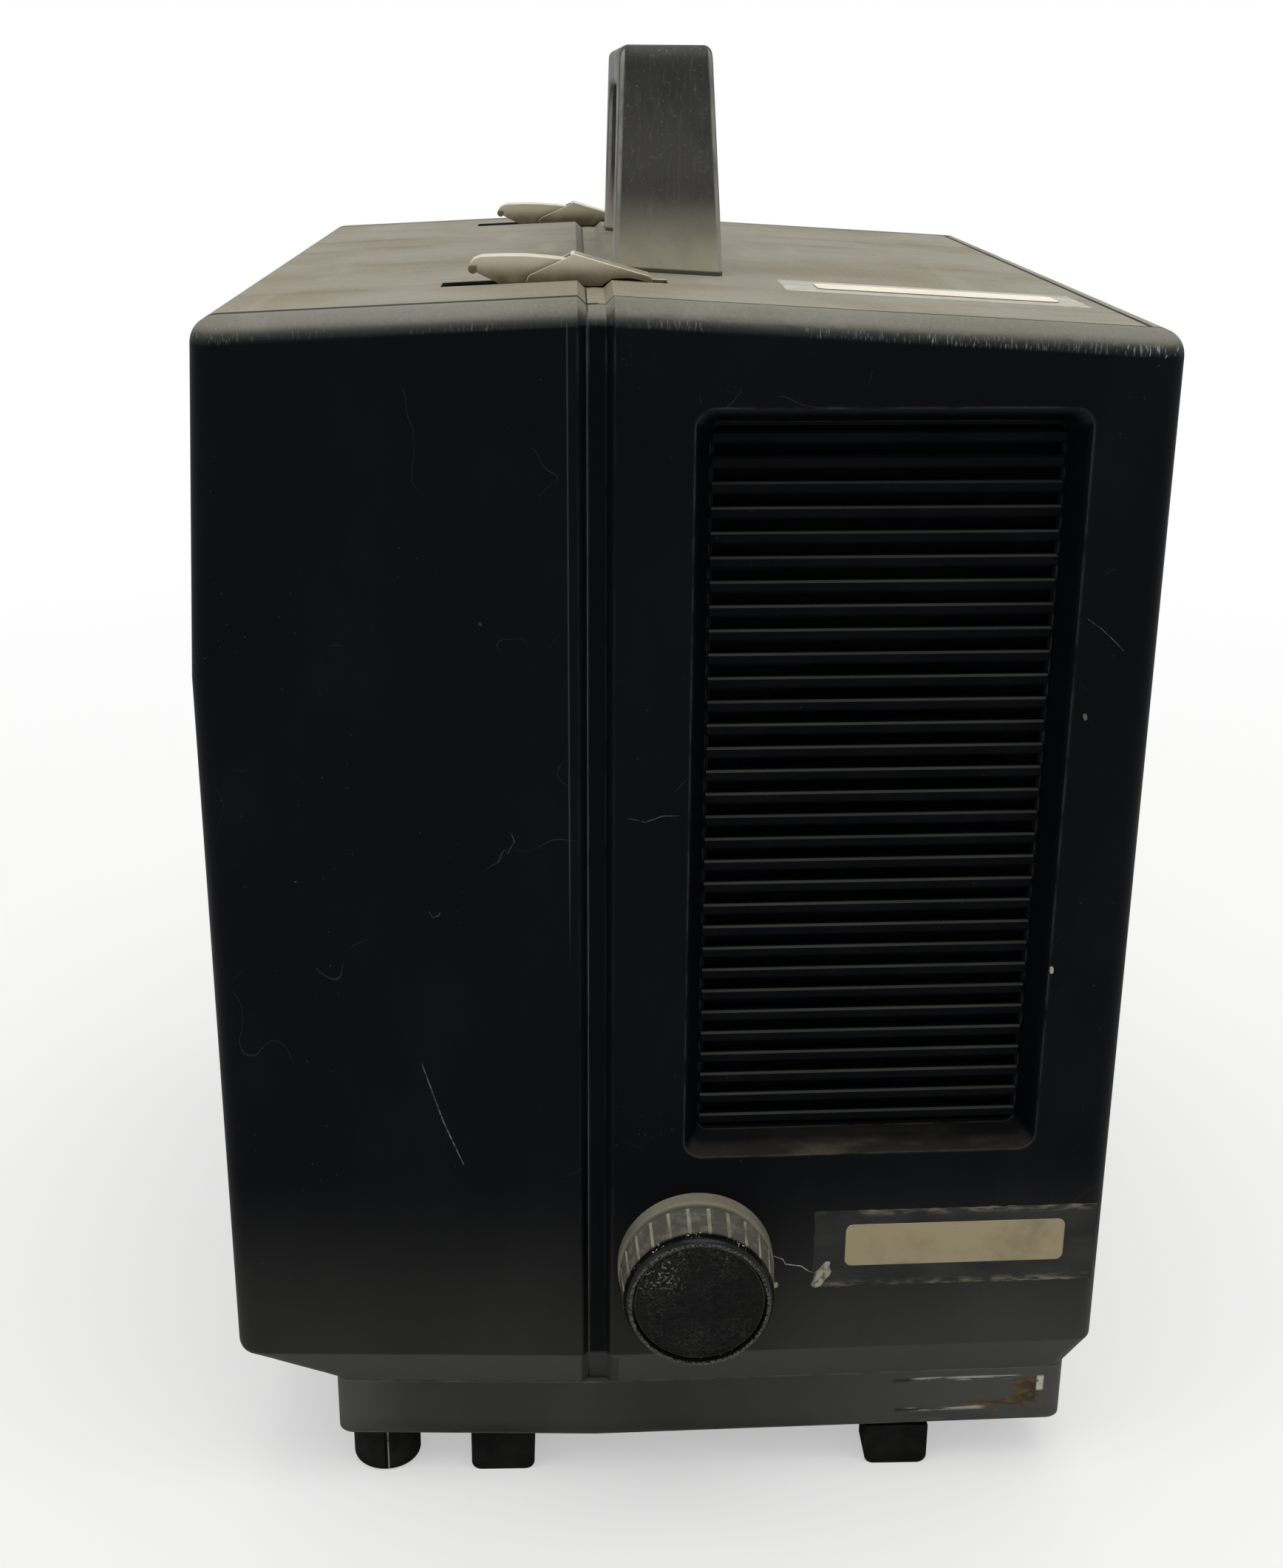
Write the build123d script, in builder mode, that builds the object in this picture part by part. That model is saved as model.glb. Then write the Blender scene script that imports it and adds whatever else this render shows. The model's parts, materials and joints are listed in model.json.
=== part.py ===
from build123d import *
from math import atan, cos, pi, radians, sin, tan
import os

os.makedirs("parts", exist_ok=True)

# Sound film projector in its carrying case, closed for storage.
# Millimetres, +Z up, front (screen end) towards -Y, operator's side towards -X.
# The origin is under the middle of the whole object, on the floor.

# Case
case_width = 300
cover_width = 125
case_length = 378
ridge_height = 414
roof_fall = 3
prow_angle = 1.92
side_break = 299
side_lean = 6.7
wall = 4
edge_radius = 8
lip_length = 15
panel_line = 0.6
tongue_length = 8
tongue_thickness = 2.5
tongue_start = 4
groove_width = 10.4
groove_depth = 2.5
groove_step = 0.02
parting_gap = 0.4
side_panel_lap = 9.5

# Plinth and feet
foot_height = 18
foot_radius = 12
foot_inset = 16
plinth_height = 22
plinth_wall = 3
plinth_corner = 6
skirt_height = 16.3
skirt_depth = 7.6
left_ramp = 32.7
right_ramp = 7
foot_boss_radius = 8

# Mechanism plate
plate_thickness = 4
plate_setback = 3.7
register_gap = 0.3
register_width = 7
register_wall = 2

# Screws
screw_radius = 2.5
screw_head_radius = 4.5
screw_head_height = 3

# Speaker opening and grille, measured from the seam along the front face
opening_left = 29
opening_margin = 27
opening_low = 133.5
opening_drop = 31
opening_corner = 6
bevel = 5.5
bevel_depth = 10
tray_wall = 2.5
tray_start = 0.5
grille_frame = 3
grille_margin = 6
slat_count = 31
slat_margin = 1
slat_height = 4
slat_depth = 4.5
slat_edge = 0.8

# Loudspeaker and its baffle board, whose frame is one piece with it
baffle_thickness = 3
speaker_radius = 50
speaker_depth = 38
magnet_radius = 24
magnet_depth = 16
cone_thickness = 1.2

# Carry handle
handle_start = 96
handle_length = 204
handle_height = 70
handle_leg = 30
handle_grip = 13
handle_foot_left = 6.7
handle_foot_right = 43
handle_top_left = 8.5
handle_top_right = 38.3
handle_edge = 3
handle_corner = 14
handle_bolt_depth = 18
bolt_side = 9

# Draw latches
latch_fronts = {"front": 68, "rear": 330}
lever_pivot_x = -1
lever_pivot_rise = 0.5
link_pivot_x = -18.8
link_pivot_rise = -1
latch_plate = 1.5
latch_gap = 0.5
lever_half_width = 4.5
hook_half_width = 6.2
pin_radius = 1.2
pin_fit = 0.05
lever_ear = 2.8
lever_height = 7
lever_tip_x = -38.5
ridge_x = -7
hook_reach = 17.5
hook_lip = 2.9
slot_left = -48.6
slot_width = 13.6
keeper_length = 9
keeper_width = 15
keeper_wall = 1
keeper_room = 2.3

# Tilt control
knob_offset = 33.4
knob_height = 93.6
knob_reach = 26.5
knob_radius = 26
knob_nose_radius = 24.5
knob_gap = 0.7
collar_radius = 26.5
collar_depth = 6.5
flute_count = 24
flute_radius = 1.6
cap_radius = 21.6
cap_gap = 0.6
cap_thickness = 2
cap_recess = 1.5
tilt_shaft_radius = 5
bushing_radius = 9
bushing_flange = 13
bushing_flange_thickness = 3
running_fit = 0.05
gear_module = 1.25
pinion_teeth = 16
pressure_angle = 20
gear_backlash = 0.35
gear_face = 8
rack_addendum = 0.8
tilt_travel = 26
rack_front = 20.5
rack_body = 8
rack_clearance = 0.4
guide_wall = 3.5
guide_height = 26
pad_width = 22.6
pad_depth = 14
pad_height = 10
pad_spacing = 142
bar_thickness = 4.5
bar_rise = 7

# Film path, from the floor and from the front face
film_x = -75
optical_drop = 152
gate_from_front = 136
gate_thickness = 8
shutter_radius = 20
shutter_width = 40
shutter_wall = 1.5
sprocket_teeth = 12
sprocket_width = 16
film_pitch = 7.62
sprocket_from_front = 131
sprocket_rise = 73
lens_radius = 20
lens_length = 98
lens_flange = 24
focus_travel = 5
drum_radius = 15
drum_from_front = 76
drum_drop = 112
flywheel_radius = 40
flywheel_width = 10
shaft_radius = 4

# Belt drive
main_pulley_radius = 22
motor_pulley_radius = 11
timing_pulley_radius = 7
sprocket_pulley_radius = 30
pulley_width = 8
belt_width = 5
belt_thickness = 1.5
belt_gap = 0.3
motor_from_front = 236
motor_height = 110
motor_radius = 38
motor_gap = 4
rotor_radius = 22
rotor_gap = 0.5
fan_radius = 34
fan_width = 24
fan_blades = 16
fan_to_motor = 14
fan_inset = 50
fan_plate = 2
fan_wall = 3
fan_space = 4

# Levels of the lamp house and the control panel
house_below = 57
panel_rise = 12
panel_height = 66

# Labels
label_length = 76
label_height = 16
label_thickness = 0.4
label_corner = 2.5
top_label_length = 79

# Places worked out from the sizes above
left_x = -case_width / 2
right_x = case_width / 2
seam_x = left_x + cover_width
opening_right = right_x - seam_x - opening_margin
opening_high = ridge_height - opening_drop
optical_height = ridge_height - optical_drop
drum_height = optical_height - drum_drop
prow = tan(radians(prow_angle))
roof = tan(radians(roof_fall))
plinth_top = foot_height + plinth_height
skirt_top = plinth_top + skirt_height
knob_x = seam_x + knob_offset
front_y = (knob_reach - prow * knob_offset - case_length) / 2
rear_y = front_y + case_length
parting_x = seam_x - groove_width / 2 + groove_depth
groove_floor_end = seam_x + groove_width / 2 - groove_depth
plate_x = parting_x + plate_setback
inner_x = plate_x + plate_thickness
far = 2 * case_length


def roof_height(x):
    """Height of the case's top surface above the floor, at x."""
    return ridge_height - roof * abs(x - seam_x)


def front_face(x):
    """Place in Y of the case's front face, at x."""
    return front_y + prow * abs(x - seam_x)


def block_between(x, y, z, mode=Mode.ADD):
    """Box between two limits on each axis."""
    with Locations(((x[0] + x[1]) / 2, (y[0] + y[1]) / 2, (z[0] + z[1]) / 2)):
        Box(x[1] - x[0], y[1] - y[0], z[1] - z[0], mode=mode)


def bar_x(start, end, y, z, radius, mode=Mode.ADD):
    """Round bar along X."""
    with BuildSketch(Plane.YZ.offset(start)) as disc:
        with Locations((y, z)):
            Circle(radius)
    extrude(disc.sketch, amount=end - start, mode=mode)


def bar_y(start, end, x, z, radius, mode=Mode.ADD):
    """Round bar along Y."""
    with BuildSketch(Plane.XZ.offset(-end)) as disc:
        with Locations((x, z)):
            Circle(radius)
    extrude(disc.sketch, amount=end - start, mode=mode)


def bar_z(start, end, x, y, radius, mode=Mode.ADD):
    """Round bar along Z."""
    with BuildSketch(Plane.XY.offset(start)) as disc:
        with Locations((x, y)):
            Circle(radius)
    extrude(disc.sketch, amount=end - start, mode=mode)


def plan_outline(left, right, ends):
    """Plan of the case, drawn in by its own amount at the left, the right and both ends."""
    a = left_x + left
    b = right_x - right
    apex = front_y + ends
    return [
        (a, rear_y - ends),
        (a, apex + prow * (seam_x - a)),
        (seam_x, apex),
        (b, apex + prow * (b - seam_x)),
        (b, rear_y - ends),
    ]


def case_block(inset):
    """The whole closed case as one solid, drawn in by inset on every face but the bottom."""
    a = left_x + inset
    b = right_x - inset
    top = ridge_height - inset
    lean_x = a + side_lean
    with BuildPart() as block:
        foot_plan = plan_outline(left_ramp + inset, right_ramp + inset, skirt_depth + inset)
        with BuildSketch(Plane.XY.offset(plinth_top)):
            with BuildLine():
                Polyline(*foot_plan, close=True)
            make_face()
        with BuildSketch(Plane.XY.offset(skirt_top)):
            with BuildLine():
                Polyline(*plan_outline(inset, inset, inset), close=True)
            make_face()
        loft(ruled=True)
        with BuildSketch(Plane.XY.offset(skirt_top)):
            with BuildLine():
                Polyline(*plan_outline(inset, inset, inset), close=True)
            make_face()
        extrude(amount=ridge_height - skirt_top)
        with BuildSketch(Plane.XZ):
            with BuildLine():
                Polyline(
                    (a, 0),
                    (a, side_break),
                    (lean_x, top - roof * (seam_x - lean_x)),
                    (seam_x, top),
                    (b, top - roof * (b - seam_x)),
                    (b, 0),
                    close=True,
                )
            make_face()
        extrude(amount=far, both=True, mode=Mode.INTERSECT)
        flat_joins = (skirt_top, side_break)
        corners = [
            edge
            for edge in block.edges()
            if edge.center().Z > plinth_top + 1
            and abs(edge.center().X - seam_x) > 1
            and min(abs(edge.center().Z - level) for level in flat_joins) > 0.1
        ]
        fillet(corners, max(edge_radius - inset, 1))
    return block.part


outer_block = case_block(0)
groove_block = case_block(groove_depth)
inner_block = case_block(wall)
tongue_block = case_block(wall + tongue_thickness)

# Body side of the case, solid, with the groove's floor and right-hand wall
with BuildPart() as groove_floor:
    add(groove_block)
    block_between((parting_x, groove_floor_end + 1), (-far, far), (-far, far), Mode.INTERSECT)

with BuildPart() as body_form:
    add(outer_block)
    block_between((groove_floor_end, far), (-far, far), (-far, far), Mode.INTERSECT)
    rim = body_form.faces().sort_by(Axis.X)[0].edges()
    rim = [edge for edge in rim if edge.center().Z > plinth_top + 0.1]
    chamfer(rim, groove_depth - groove_step)
    add(groove_floor.part)

# Cover side of the case, solid, with the groove's left-hand wall
with BuildPart() as cover_form:
    add(outer_block)
    cover_edge = parting_x - parting_gap
    block_between((-far, cover_edge), (-far, far), (plinth_top + parting_gap, far), Mode.INTERSECT)
    rim = cover_form.faces().sort_by(Axis.X)[-1].edges()
    rim = [edge for edge in rim if edge.center().Z > plinth_top + parting_gap + 0.1]
    chamfer(rim, groove_depth)


def shell_piece(form, x, y, z):
    """Part of a case skin, between two limits on each axis."""
    with BuildPart() as piece:
        add(form)
        block_between(x, y, z, Mode.INTERSECT)
        add(inner_block, mode=Mode.SUBTRACT)
    return piece.part


def tongue(x, y):
    """Inner lip of an end housing above the skirt, on which the sheet panels lie."""
    with BuildPart() as piece:
        add(inner_block)
        block_between(x, y, (skirt_top + tongue_start, far), Mode.INTERSECT)
        add(tongue_block, mode=Mode.SUBTRACT)
    return piece.part


front_joint = front_y + lip_length
rear_joint = rear_y - lip_length
tongue_root = 2
front_tongue = (front_joint - tongue_root, front_joint + tongue_length)
rear_tongue = (rear_joint - tongue_length, rear_joint + tongue_root)
panel_start = front_joint + panel_line
panel_end = rear_joint - panel_line
tongue_x = inner_x + 0.5
everywhere = (-far, far)
front_plane = Plane(
    origin=(seam_x, front_y, 0),
    x_dir=(cos(radians(prow_angle)), sin(radians(prow_angle)), 0),
    z_dir=(sin(radians(prow_angle)), -cos(radians(prow_angle)), 0),
)
top_plane = Plane(
    origin=(seam_x, 0, ridge_height),
    x_dir=(cos(radians(roof_fall)), 0, -sin(radians(roof_fall))),
    z_dir=(sin(radians(roof_fall)), 0, cos(radians(roof_fall))),
)

# Base plinth: an upturned tray with posts for the feet and a slot for the tilt rack
foot_places = [
    (left_x + left_ramp + foot_inset, front_y + skirt_depth + foot_inset),
    (left_x + left_ramp + foot_inset, rear_y - skirt_depth - foot_inset),
    (right_x - right_ramp - foot_inset, rear_y - skirt_depth - foot_inset),
]
pitch_radius = gear_module * pinion_teeth / 2
rack_line = knob_x + pitch_radius
rack_root = rack_line + 1.25 * gear_module
rack_back = rack_root + rack_body
rack_y = (front_y + rack_front, front_y + rack_front + gear_face + 2)
slot_y = (rack_y[0] - rack_clearance, rack_y[1] + rack_clearance)
slot_x = (rack_line - 2 * gear_module, rack_back + rack_clearance)
board_length = 70
board_from_rear = 22
board_from_seam = 45
board_from_side = 16
board_y = (rear_y - board_from_rear - board_length, rear_y - board_from_rear)
board_x = (seam_x + board_from_seam, right_x - board_from_side)
board_height = 12
post_inset = 6
post_radius = 4

with BuildPart() as base_plinth:
    with BuildSketch(Plane.XY.offset(foot_height)):
        with BuildLine():
            Polyline(*plan_outline(left_ramp, right_ramp, skirt_depth), close=True)
        make_face()
    extrude(amount=plinth_height)
    uprights = base_plinth.edges().filter_by(Axis.Z)
    uprights = [edge for edge in uprights if abs(edge.center().X - seam_x) > 1]
    fillet(uprights, plinth_corner)
    tray = plan_outline(left_ramp + plinth_wall, right_ramp + plinth_wall, skirt_depth + plinth_wall)
    with BuildSketch(Plane.XY.offset(foot_height)):
        with BuildLine():
            Polyline(*tray, close=True)
        make_face()
    extrude(amount=plinth_height - plinth_wall, mode=Mode.SUBTRACT)
    for x, y in foot_places:
        bar_z(foot_height, plinth_top - plinth_wall, x, y, foot_boss_radius)
        bar_z(foot_height, plinth_top - plinth_wall, x, y, screw_radius, Mode.SUBTRACT)
    for x in (board_x[0] + post_inset, board_x[1] - post_inset):
        for y in (board_y[0] + post_inset, board_y[1] - post_inset):
            bar_z(plinth_top, plinth_top + board_height, x, y, post_radius)
    block_between(slot_x, slot_y, (foot_height, plinth_top), Mode.SUBTRACT)
base_plinth.part.label = "base_plinth"
export_step(base_plinth.part, "parts/base_plinth.step")

# Front housing with the speaker opening's bevelled tray
opening_width = opening_right - opening_left
opening_height = opening_high - opening_low
opening_middle = ((opening_left + opening_right) / 2, (opening_low + opening_high) / 2)
knob_face = front_face(knob_x)


def face_panel(depth, grow, corner):
    """Rounded rectangle round the speaker opening, at a depth behind the front face."""
    with BuildSketch(front_plane.offset(-depth)) as panel:
        with Locations(opening_middle):
            RectangleRounded(opening_width + 2 * grow, opening_height + 2 * grow, corner)
    return panel.sketch


front_skin = shell_piece(body_form.part, everywhere, (-far, front_joint), everywhere)
front_lip = tongue((tongue_x, far), front_tongue)
with BuildPart() as front_housing:
    add(front_skin)
    add(front_lip)
    tray_mouth = face_panel(tray_start, tray_wall, opening_corner)
    tray_end = face_panel(bevel_depth, tray_wall - bevel, opening_corner)
    loft([tray_mouth, tray_end])
    bevel_mouth = face_panel(-groove_step, 0, opening_corner)
    bevel_end = face_panel(bevel_depth, -bevel, opening_corner - bevel / 2)
    loft([bevel_mouth, bevel_end], mode=Mode.SUBTRACT)
    bushing_hole = bushing_radius + running_fit
    bar_y(front_y - 1, front_y + lip_length, knob_x, knob_height, bushing_hole, Mode.SUBTRACT)
front_housing.part.label = "front_housing"
export_step(front_housing.part, "parts/front_housing.step")

with BuildPart() as speaker_grille:
    grille_back = bevel_depth + grille_frame
    extrude(face_panel(grille_back, grille_margin - bevel, opening_corner), amount=grille_frame)
    extrude(face_panel(grille_back, -bevel - 1, 1), amount=grille_frame, mode=Mode.SUBTRACT)
    slat_length = opening_width - 2 * bevel - 0.6
    slat_pitch = (opening_height - 2 * bevel - slat_margin) / slat_count
    with BuildSketch(front_plane.offset(-grille_back)):
        with Locations(opening_middle):
            with GridLocations(1, slat_pitch, 1, slat_count):
                Rectangle(slat_length, slat_height)
    extrude(amount=slat_depth)
    slat_front = grille_back - slat_depth
    front_edges = speaker_grille.edges().filter_by(lambda edge: edge.length > slat_length - 1)
    front_edges = [
        edge
        for edge in front_edges
        if abs(front_plane.to_local_coords(edge.center()).Z + slat_front) < 0.1
    ]
    chamfer(front_edges, slat_edge)
speaker_grille.part.label = "speaker_grille"
export_step(speaker_grille.part, "parts/speaker_grille.step")

# Rear housing with vent slots and the cut-out for the power inlet
inlet_inset = 50
inlet_x = right_x - inlet_inset
inlet_height = 82
inlet_width = 28
inlet_tall = 22
inlet_depth = 20
inlet_flange = 5
inlet_flange_thickness = 2
inlet_wall = 2.5
inlet_fit = 0.1
pin_spacing = 7
pin_recess = 6
pin_half_width = 1
pin_half_height = 2
vent_count = 9
vent_pitch = 10
vent_height = 4
vent_length = 90
vent_x = (inner_x + right_x - wall) / 2

rear_skin = shell_piece(body_form.part, everywhere, (rear_joint, far), everywhere)
rear_lip = tongue((tongue_x, far), rear_tongue)
with BuildPart() as rear_housing:
    add(rear_skin)
    add(rear_lip)
    with BuildSketch(Plane.XZ.offset(-rear_y - 1)):
        with Locations((vent_x, ridge_height - 90)):
            with GridLocations(1, vent_pitch, 1, vent_count):
                SlotOverall(vent_length, vent_height)
        with Locations((inlet_x, inlet_height)):
            Rectangle(inlet_width + 2 * inlet_fit, inlet_tall + 2 * inlet_fit)
    extrude(amount=lip_length, mode=Mode.SUBTRACT)
rear_housing.part.label = "rear_housing"
export_step(rear_housing.part, "parts/rear_housing.step")


def inlet_block(grow, back, front, mode=Mode.ADD):
    """Block on the inlet's axis, larger than its body by grow on each side."""
    half_width = inlet_width / 2 + grow
    half_height = inlet_tall / 2 + grow
    across = (inlet_x - half_width, inlet_x + half_width)
    block_between(across, (back, front), (inlet_height - half_height, inlet_height + half_height), mode)


with BuildPart() as power_inlet:
    inlet_back = rear_y - inlet_depth
    inlet_block(0, inlet_back, rear_y)
    inlet_block(inlet_flange, rear_y - wall - inlet_flange_thickness, rear_y - wall)
    inlet_block(-inlet_wall, inlet_back + inlet_wall, rear_y, Mode.SUBTRACT)
    for step in (-1, 0, 1):
        pin_x = inlet_x + pin_spacing * step
        block_between(
            (pin_x - pin_half_width, pin_x + pin_half_width),
            (inlet_back, rear_y - pin_recess),
            (inlet_height - pin_half_height, inlet_height + pin_half_height),
        )
power_inlet.part.label = "power_inlet"
export_step(power_inlet.part, "parts/power_inlet.step")

# Sheet panels of the body
latch_middles = {name: front_y + reach for name, reach in latch_fronts.items()}
keeper_start = seam_x + hook_reach - keeper_room
keeper_x = (keeper_start, keeper_start + keeper_length)
bolt_places = [
    (seam_x + (handle_foot_left + handle_foot_right) / 2 + side, front_y + handle_start + along)
    for side in (-bolt_side, bolt_side)
    for along in (handle_leg / 2, handle_length - handle_leg / 2)
]
screw_hole = screw_radius + 0.1

top_sheet_x = (-far, right_x - side_panel_lap - panel_line)
top_sheet = shell_piece(body_form.part, top_sheet_x, (panel_start, panel_end), (side_break, far))
with BuildPart() as top_panel:
    add(top_sheet)
    for middle in latch_middles.values():
        keeper_y = (middle - keeper_width / 2, middle + keeper_width / 2)
        block_between(keeper_x, keeper_y, (side_break, far), Mode.SUBTRACT)
    for x, y in bolt_places:
        bar_z(side_break, ridge_height + 1, x, y, screw_hole, Mode.SUBTRACT)
top_panel.part.label = "top_panel"
export_step(top_panel.part, "parts/top_panel.step")

side_vent_count = 6
side_vent_pitch = 9
side_vent_length = 60
motor_y = front_y + motor_from_front
side_sheet_x = (right_x - side_panel_lap, far)
side_sheet = shell_piece(body_form.part, side_sheet_x, (panel_start, panel_end), everywhere)
with BuildPart() as side_panel:
    add(side_sheet)
    with BuildSketch(Plane.YZ.offset(right_x - wall - 1)):
        with Locations((motor_y, motor_height)):
            with GridLocations(1, side_vent_pitch, 1, side_vent_count):
                SlotOverall(side_vent_length, vent_height)
    extrude(amount=wall + 2, mode=Mode.SUBTRACT)
side_panel.part.label = "side_panel"
export_step(side_panel.part, "parts/side_panel.step")

with BuildPart() as latch_keepers:
    for middle in latch_middles.values():
        block_between(keeper_x, (middle - keeper_width / 2, middle + keeper_width / 2), (side_break, far))
    add(outer_block, mode=Mode.INTERSECT)
    add(inner_block, mode=Mode.SUBTRACT)
    for middle in latch_middles.values():
        block_between(
            (keeper_x[0] + keeper_wall, keeper_x[1] - keeper_wall),
            (middle - keeper_width / 2 + keeper_wall, middle + keeper_width / 2 - keeper_wall),
            (roof_height(keeper_x[0]) - wall + keeper_wall, far),
            Mode.SUBTRACT,
        )
latch_keepers.part.label = "latch_keepers"
export_step(latch_keepers.part, "parts/latch_keepers.step")

# Carry handle and the bolts that hold it from below
handle_top = ridge_height + handle_height
with BuildPart() as carry_handle:
    with BuildSketch(Plane.XZ):
        with BuildLine():
            Polyline(
                (seam_x + handle_foot_left, side_break),
                (seam_x + handle_foot_left, ridge_height),
                (seam_x + handle_top_left, handle_top),
                (seam_x + handle_top_right, handle_top),
                (seam_x + handle_foot_right, ridge_height),
                (seam_x + handle_foot_right, side_break),
                close=True,
            )
        make_face()
    extrude(amount=far, both=True)
    handle_y = front_y + handle_start + handle_length / 2
    with BuildSketch(Plane.YZ):
        with Locations((handle_y, (side_break + handle_top) / 2)):
            Rectangle(handle_length, handle_top - side_break)
        with Locations((handle_y, (side_break + handle_top - handle_grip) / 2)):
            Rectangle(
                handle_length - 2 * handle_leg, handle_top - handle_grip - side_break, mode=Mode.SUBTRACT
            )
    extrude(amount=far, both=True, mode=Mode.INTERSECT)
    lengthways = carry_handle.edges().filter_by(Axis.X)
    fillet(lengthways.group_by(Axis.Z)[-1], handle_edge * 2)
    grip_under = handle_top - handle_grip
    crosswise = carry_handle.edges().filter_by(Axis.X)
    fillet(crosswise.filter_by_position(Axis.Z, grip_under - 1, grip_under + 1), handle_corner)
    add(outer_block, mode=Mode.SUBTRACT)
    sides = [
        edge
        for edge in carry_handle.edges()
        if edge.bounding_box().max.Z > ridge_height + 1 and edge.bounding_box().size.X < 10
    ]
    fillet(sides, handle_edge)
    for x, y in bolt_places:
        bar_z(side_break, ridge_height + handle_bolt_depth, x, y, screw_hole, Mode.SUBTRACT)
carry_handle.part.label = "carry_handle"
export_step(carry_handle.part, "parts/carry_handle.step")

# Rubber feet, and the screws that hold the feet and the handle
foot_seat = 9
with BuildPart() as rubber_feet:
    for x, y in foot_places:
        bar_z(0, foot_height, x, y, foot_radius)
    fillet(rubber_feet.edges().group_by(Axis.Z)[0], 2)
    for x, y in foot_places:
        bar_z(0, foot_seat, x, y, screw_head_radius + 1, Mode.SUBTRACT)
        bar_z(0, foot_height, x, y, screw_hole, Mode.SUBTRACT)
rubber_feet.part.label = "rubber_feet"
export_step(rubber_feet.part, "parts/rubber_feet.step")

screw_length = wall + handle_bolt_depth
screw_seats = [(x, y, foot_seat) for x, y in foot_places]
screw_seats += [(x, y, roof_height(x + screw_head_radius) - wall - 0.1) for x, y in bolt_places]
with BuildPart() as fixing_screws:
    for x, y, seat in screw_seats:
        bar_z(seat - screw_head_height, seat, x, y, screw_head_radius)
        bar_z(seat, seat + screw_length - 1, x, y, screw_radius)
fixing_screws.part.label = "fixing_screws"
export_step(fixing_screws.part, "parts/fixing_screws.step")

# Mechanism plate: a dish whose rim locates the cover, with bosses for the shafts
gate_y = front_y + gate_from_front
gate_back = gate_y + gate_thickness / 2
shutter_y = gate_back + 2.5 + shutter_radius
sprocket_y = front_y + sprocket_from_front
sprocket_radius = sprocket_teeth * film_pitch / (2 * pi)
drum_y = front_y + drum_from_front
boss_length = 10
boss_radius = 9
shaft_places = [
    (shutter_y, optical_height),
    (sprocket_y, optical_height + sprocket_rise),
    (sprocket_y, optical_height - sprocket_rise),
    (drum_y, drum_height),
]
lever_behind = 74
lever_y = shutter_y + lever_behind
panel_top = plinth_top + panel_rise + panel_height
lever_z = (panel_top + optical_height - house_below) / 2
lever_stud_radius = 3
lever_hub_length = 12
register_outer = case_block(wall + register_gap)
register_inner = case_block(wall + register_gap + register_wall)
with BuildPart() as plate_dish:
    add(register_inner)
    block_between((plate_x - register_width - 1, plate_x), everywhere, everywhere, Mode.INTERSECT)

with BuildPart() as mechanism_plate:
    add(register_outer)
    block_between((plate_x - register_width, inner_x), everywhere, (plinth_top, far), Mode.INTERSECT)
    add(plate_dish.part, mode=Mode.SUBTRACT)
    for y, z in shaft_places:
        bar_x(plate_x - boss_length, plate_x, y, z, boss_radius)
        bar_x(plate_x - boss_length, inner_x, y, z, shaft_radius + running_fit, Mode.SUBTRACT)
    bar_x(plate_x - lever_hub_length, plate_x, lever_y, lever_z, lever_stud_radius)
mechanism_plate.part.label = "mechanism_plate"
export_step(mechanism_plate.part, "parts/mechanism_plate.step")

# Cover: two end mouldings and a wrapped skin between them
cover_lip_x = (-far, plate_x - register_width - 2)
cover_front_skin = shell_piece(cover_form.part, everywhere, (-far, front_joint), everywhere)
cover_front_lip = tongue(cover_lip_x, front_tongue)
with BuildPart() as cover_front:
    add(cover_front_skin)
    add(cover_front_lip)
cover_front.part.label = "cover_front"
export_step(cover_front.part, "parts/cover_front.step")

cover_rear_skin = shell_piece(cover_form.part, everywhere, (rear_joint, far), everywhere)
cover_rear_lip = tongue(cover_lip_x, rear_tongue)
with BuildPart() as cover_rear:
    add(cover_rear_skin)
    add(cover_rear_lip)
cover_rear.part.label = "cover_rear"
export_step(cover_rear.part, "parts/cover_rear.step")

cover_sheet = shell_piece(cover_form.part, everywhere, (panel_start, panel_end), everywhere)
slot_x_limits = (seam_x + slot_left, seam_x)
with BuildPart() as cover_skin:
    add(cover_sheet)
    for middle in latch_middles.values():
        latch_slot_y = (middle - slot_width / 2, middle + slot_width / 2)
        block_between(slot_x_limits, latch_slot_y, (side_break, far), Mode.SUBTRACT)
cover_skin.part.label = "cover_skin"
export_step(cover_skin.part, "parts/cover_skin.step")


def hull_bar(y, circles):
    """Flat plate across Y whose outline wraps round circles given as x, z and radius."""
    with BuildSketch(Plane.XZ.offset(-y[1])) as outline:
        for x, z, radius in circles:
            with Locations((x, z)):
                Circle(radius)
        make_hull(outline.edges())
    extrude(outline.sketch, amount=y[1] - y[0])


def flat_bar(y, points, mode=Mode.ADD):
    """Plate across Y with the outline of a list of points in X and Z."""
    with BuildSketch(Plane.XZ.offset(-y[1])) as outline:
        with BuildLine():
            Polyline(*points, close=True)
        make_face()
    extrude(outline.sketch, amount=y[1] - y[0], mode=mode)


# Draw latches: a bracket under the cover, an over-centre lever and the hook that it draws
pivot_x = seam_x + lever_pivot_x
pivot_z = ridge_height + lever_pivot_rise
link_x = seam_x + link_pivot_x
link_z = ridge_height + link_pivot_rise
groove_floor_z = ridge_height - groove_depth
crown_z = ridge_height + lever_height
bracket_half_width = lever_half_width - latch_plate - latch_gap
bracket_left = seam_x + slot_left + 8
bracket_right = plate_x - register_width - 5
base_block = case_block(wall + 2)

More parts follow.
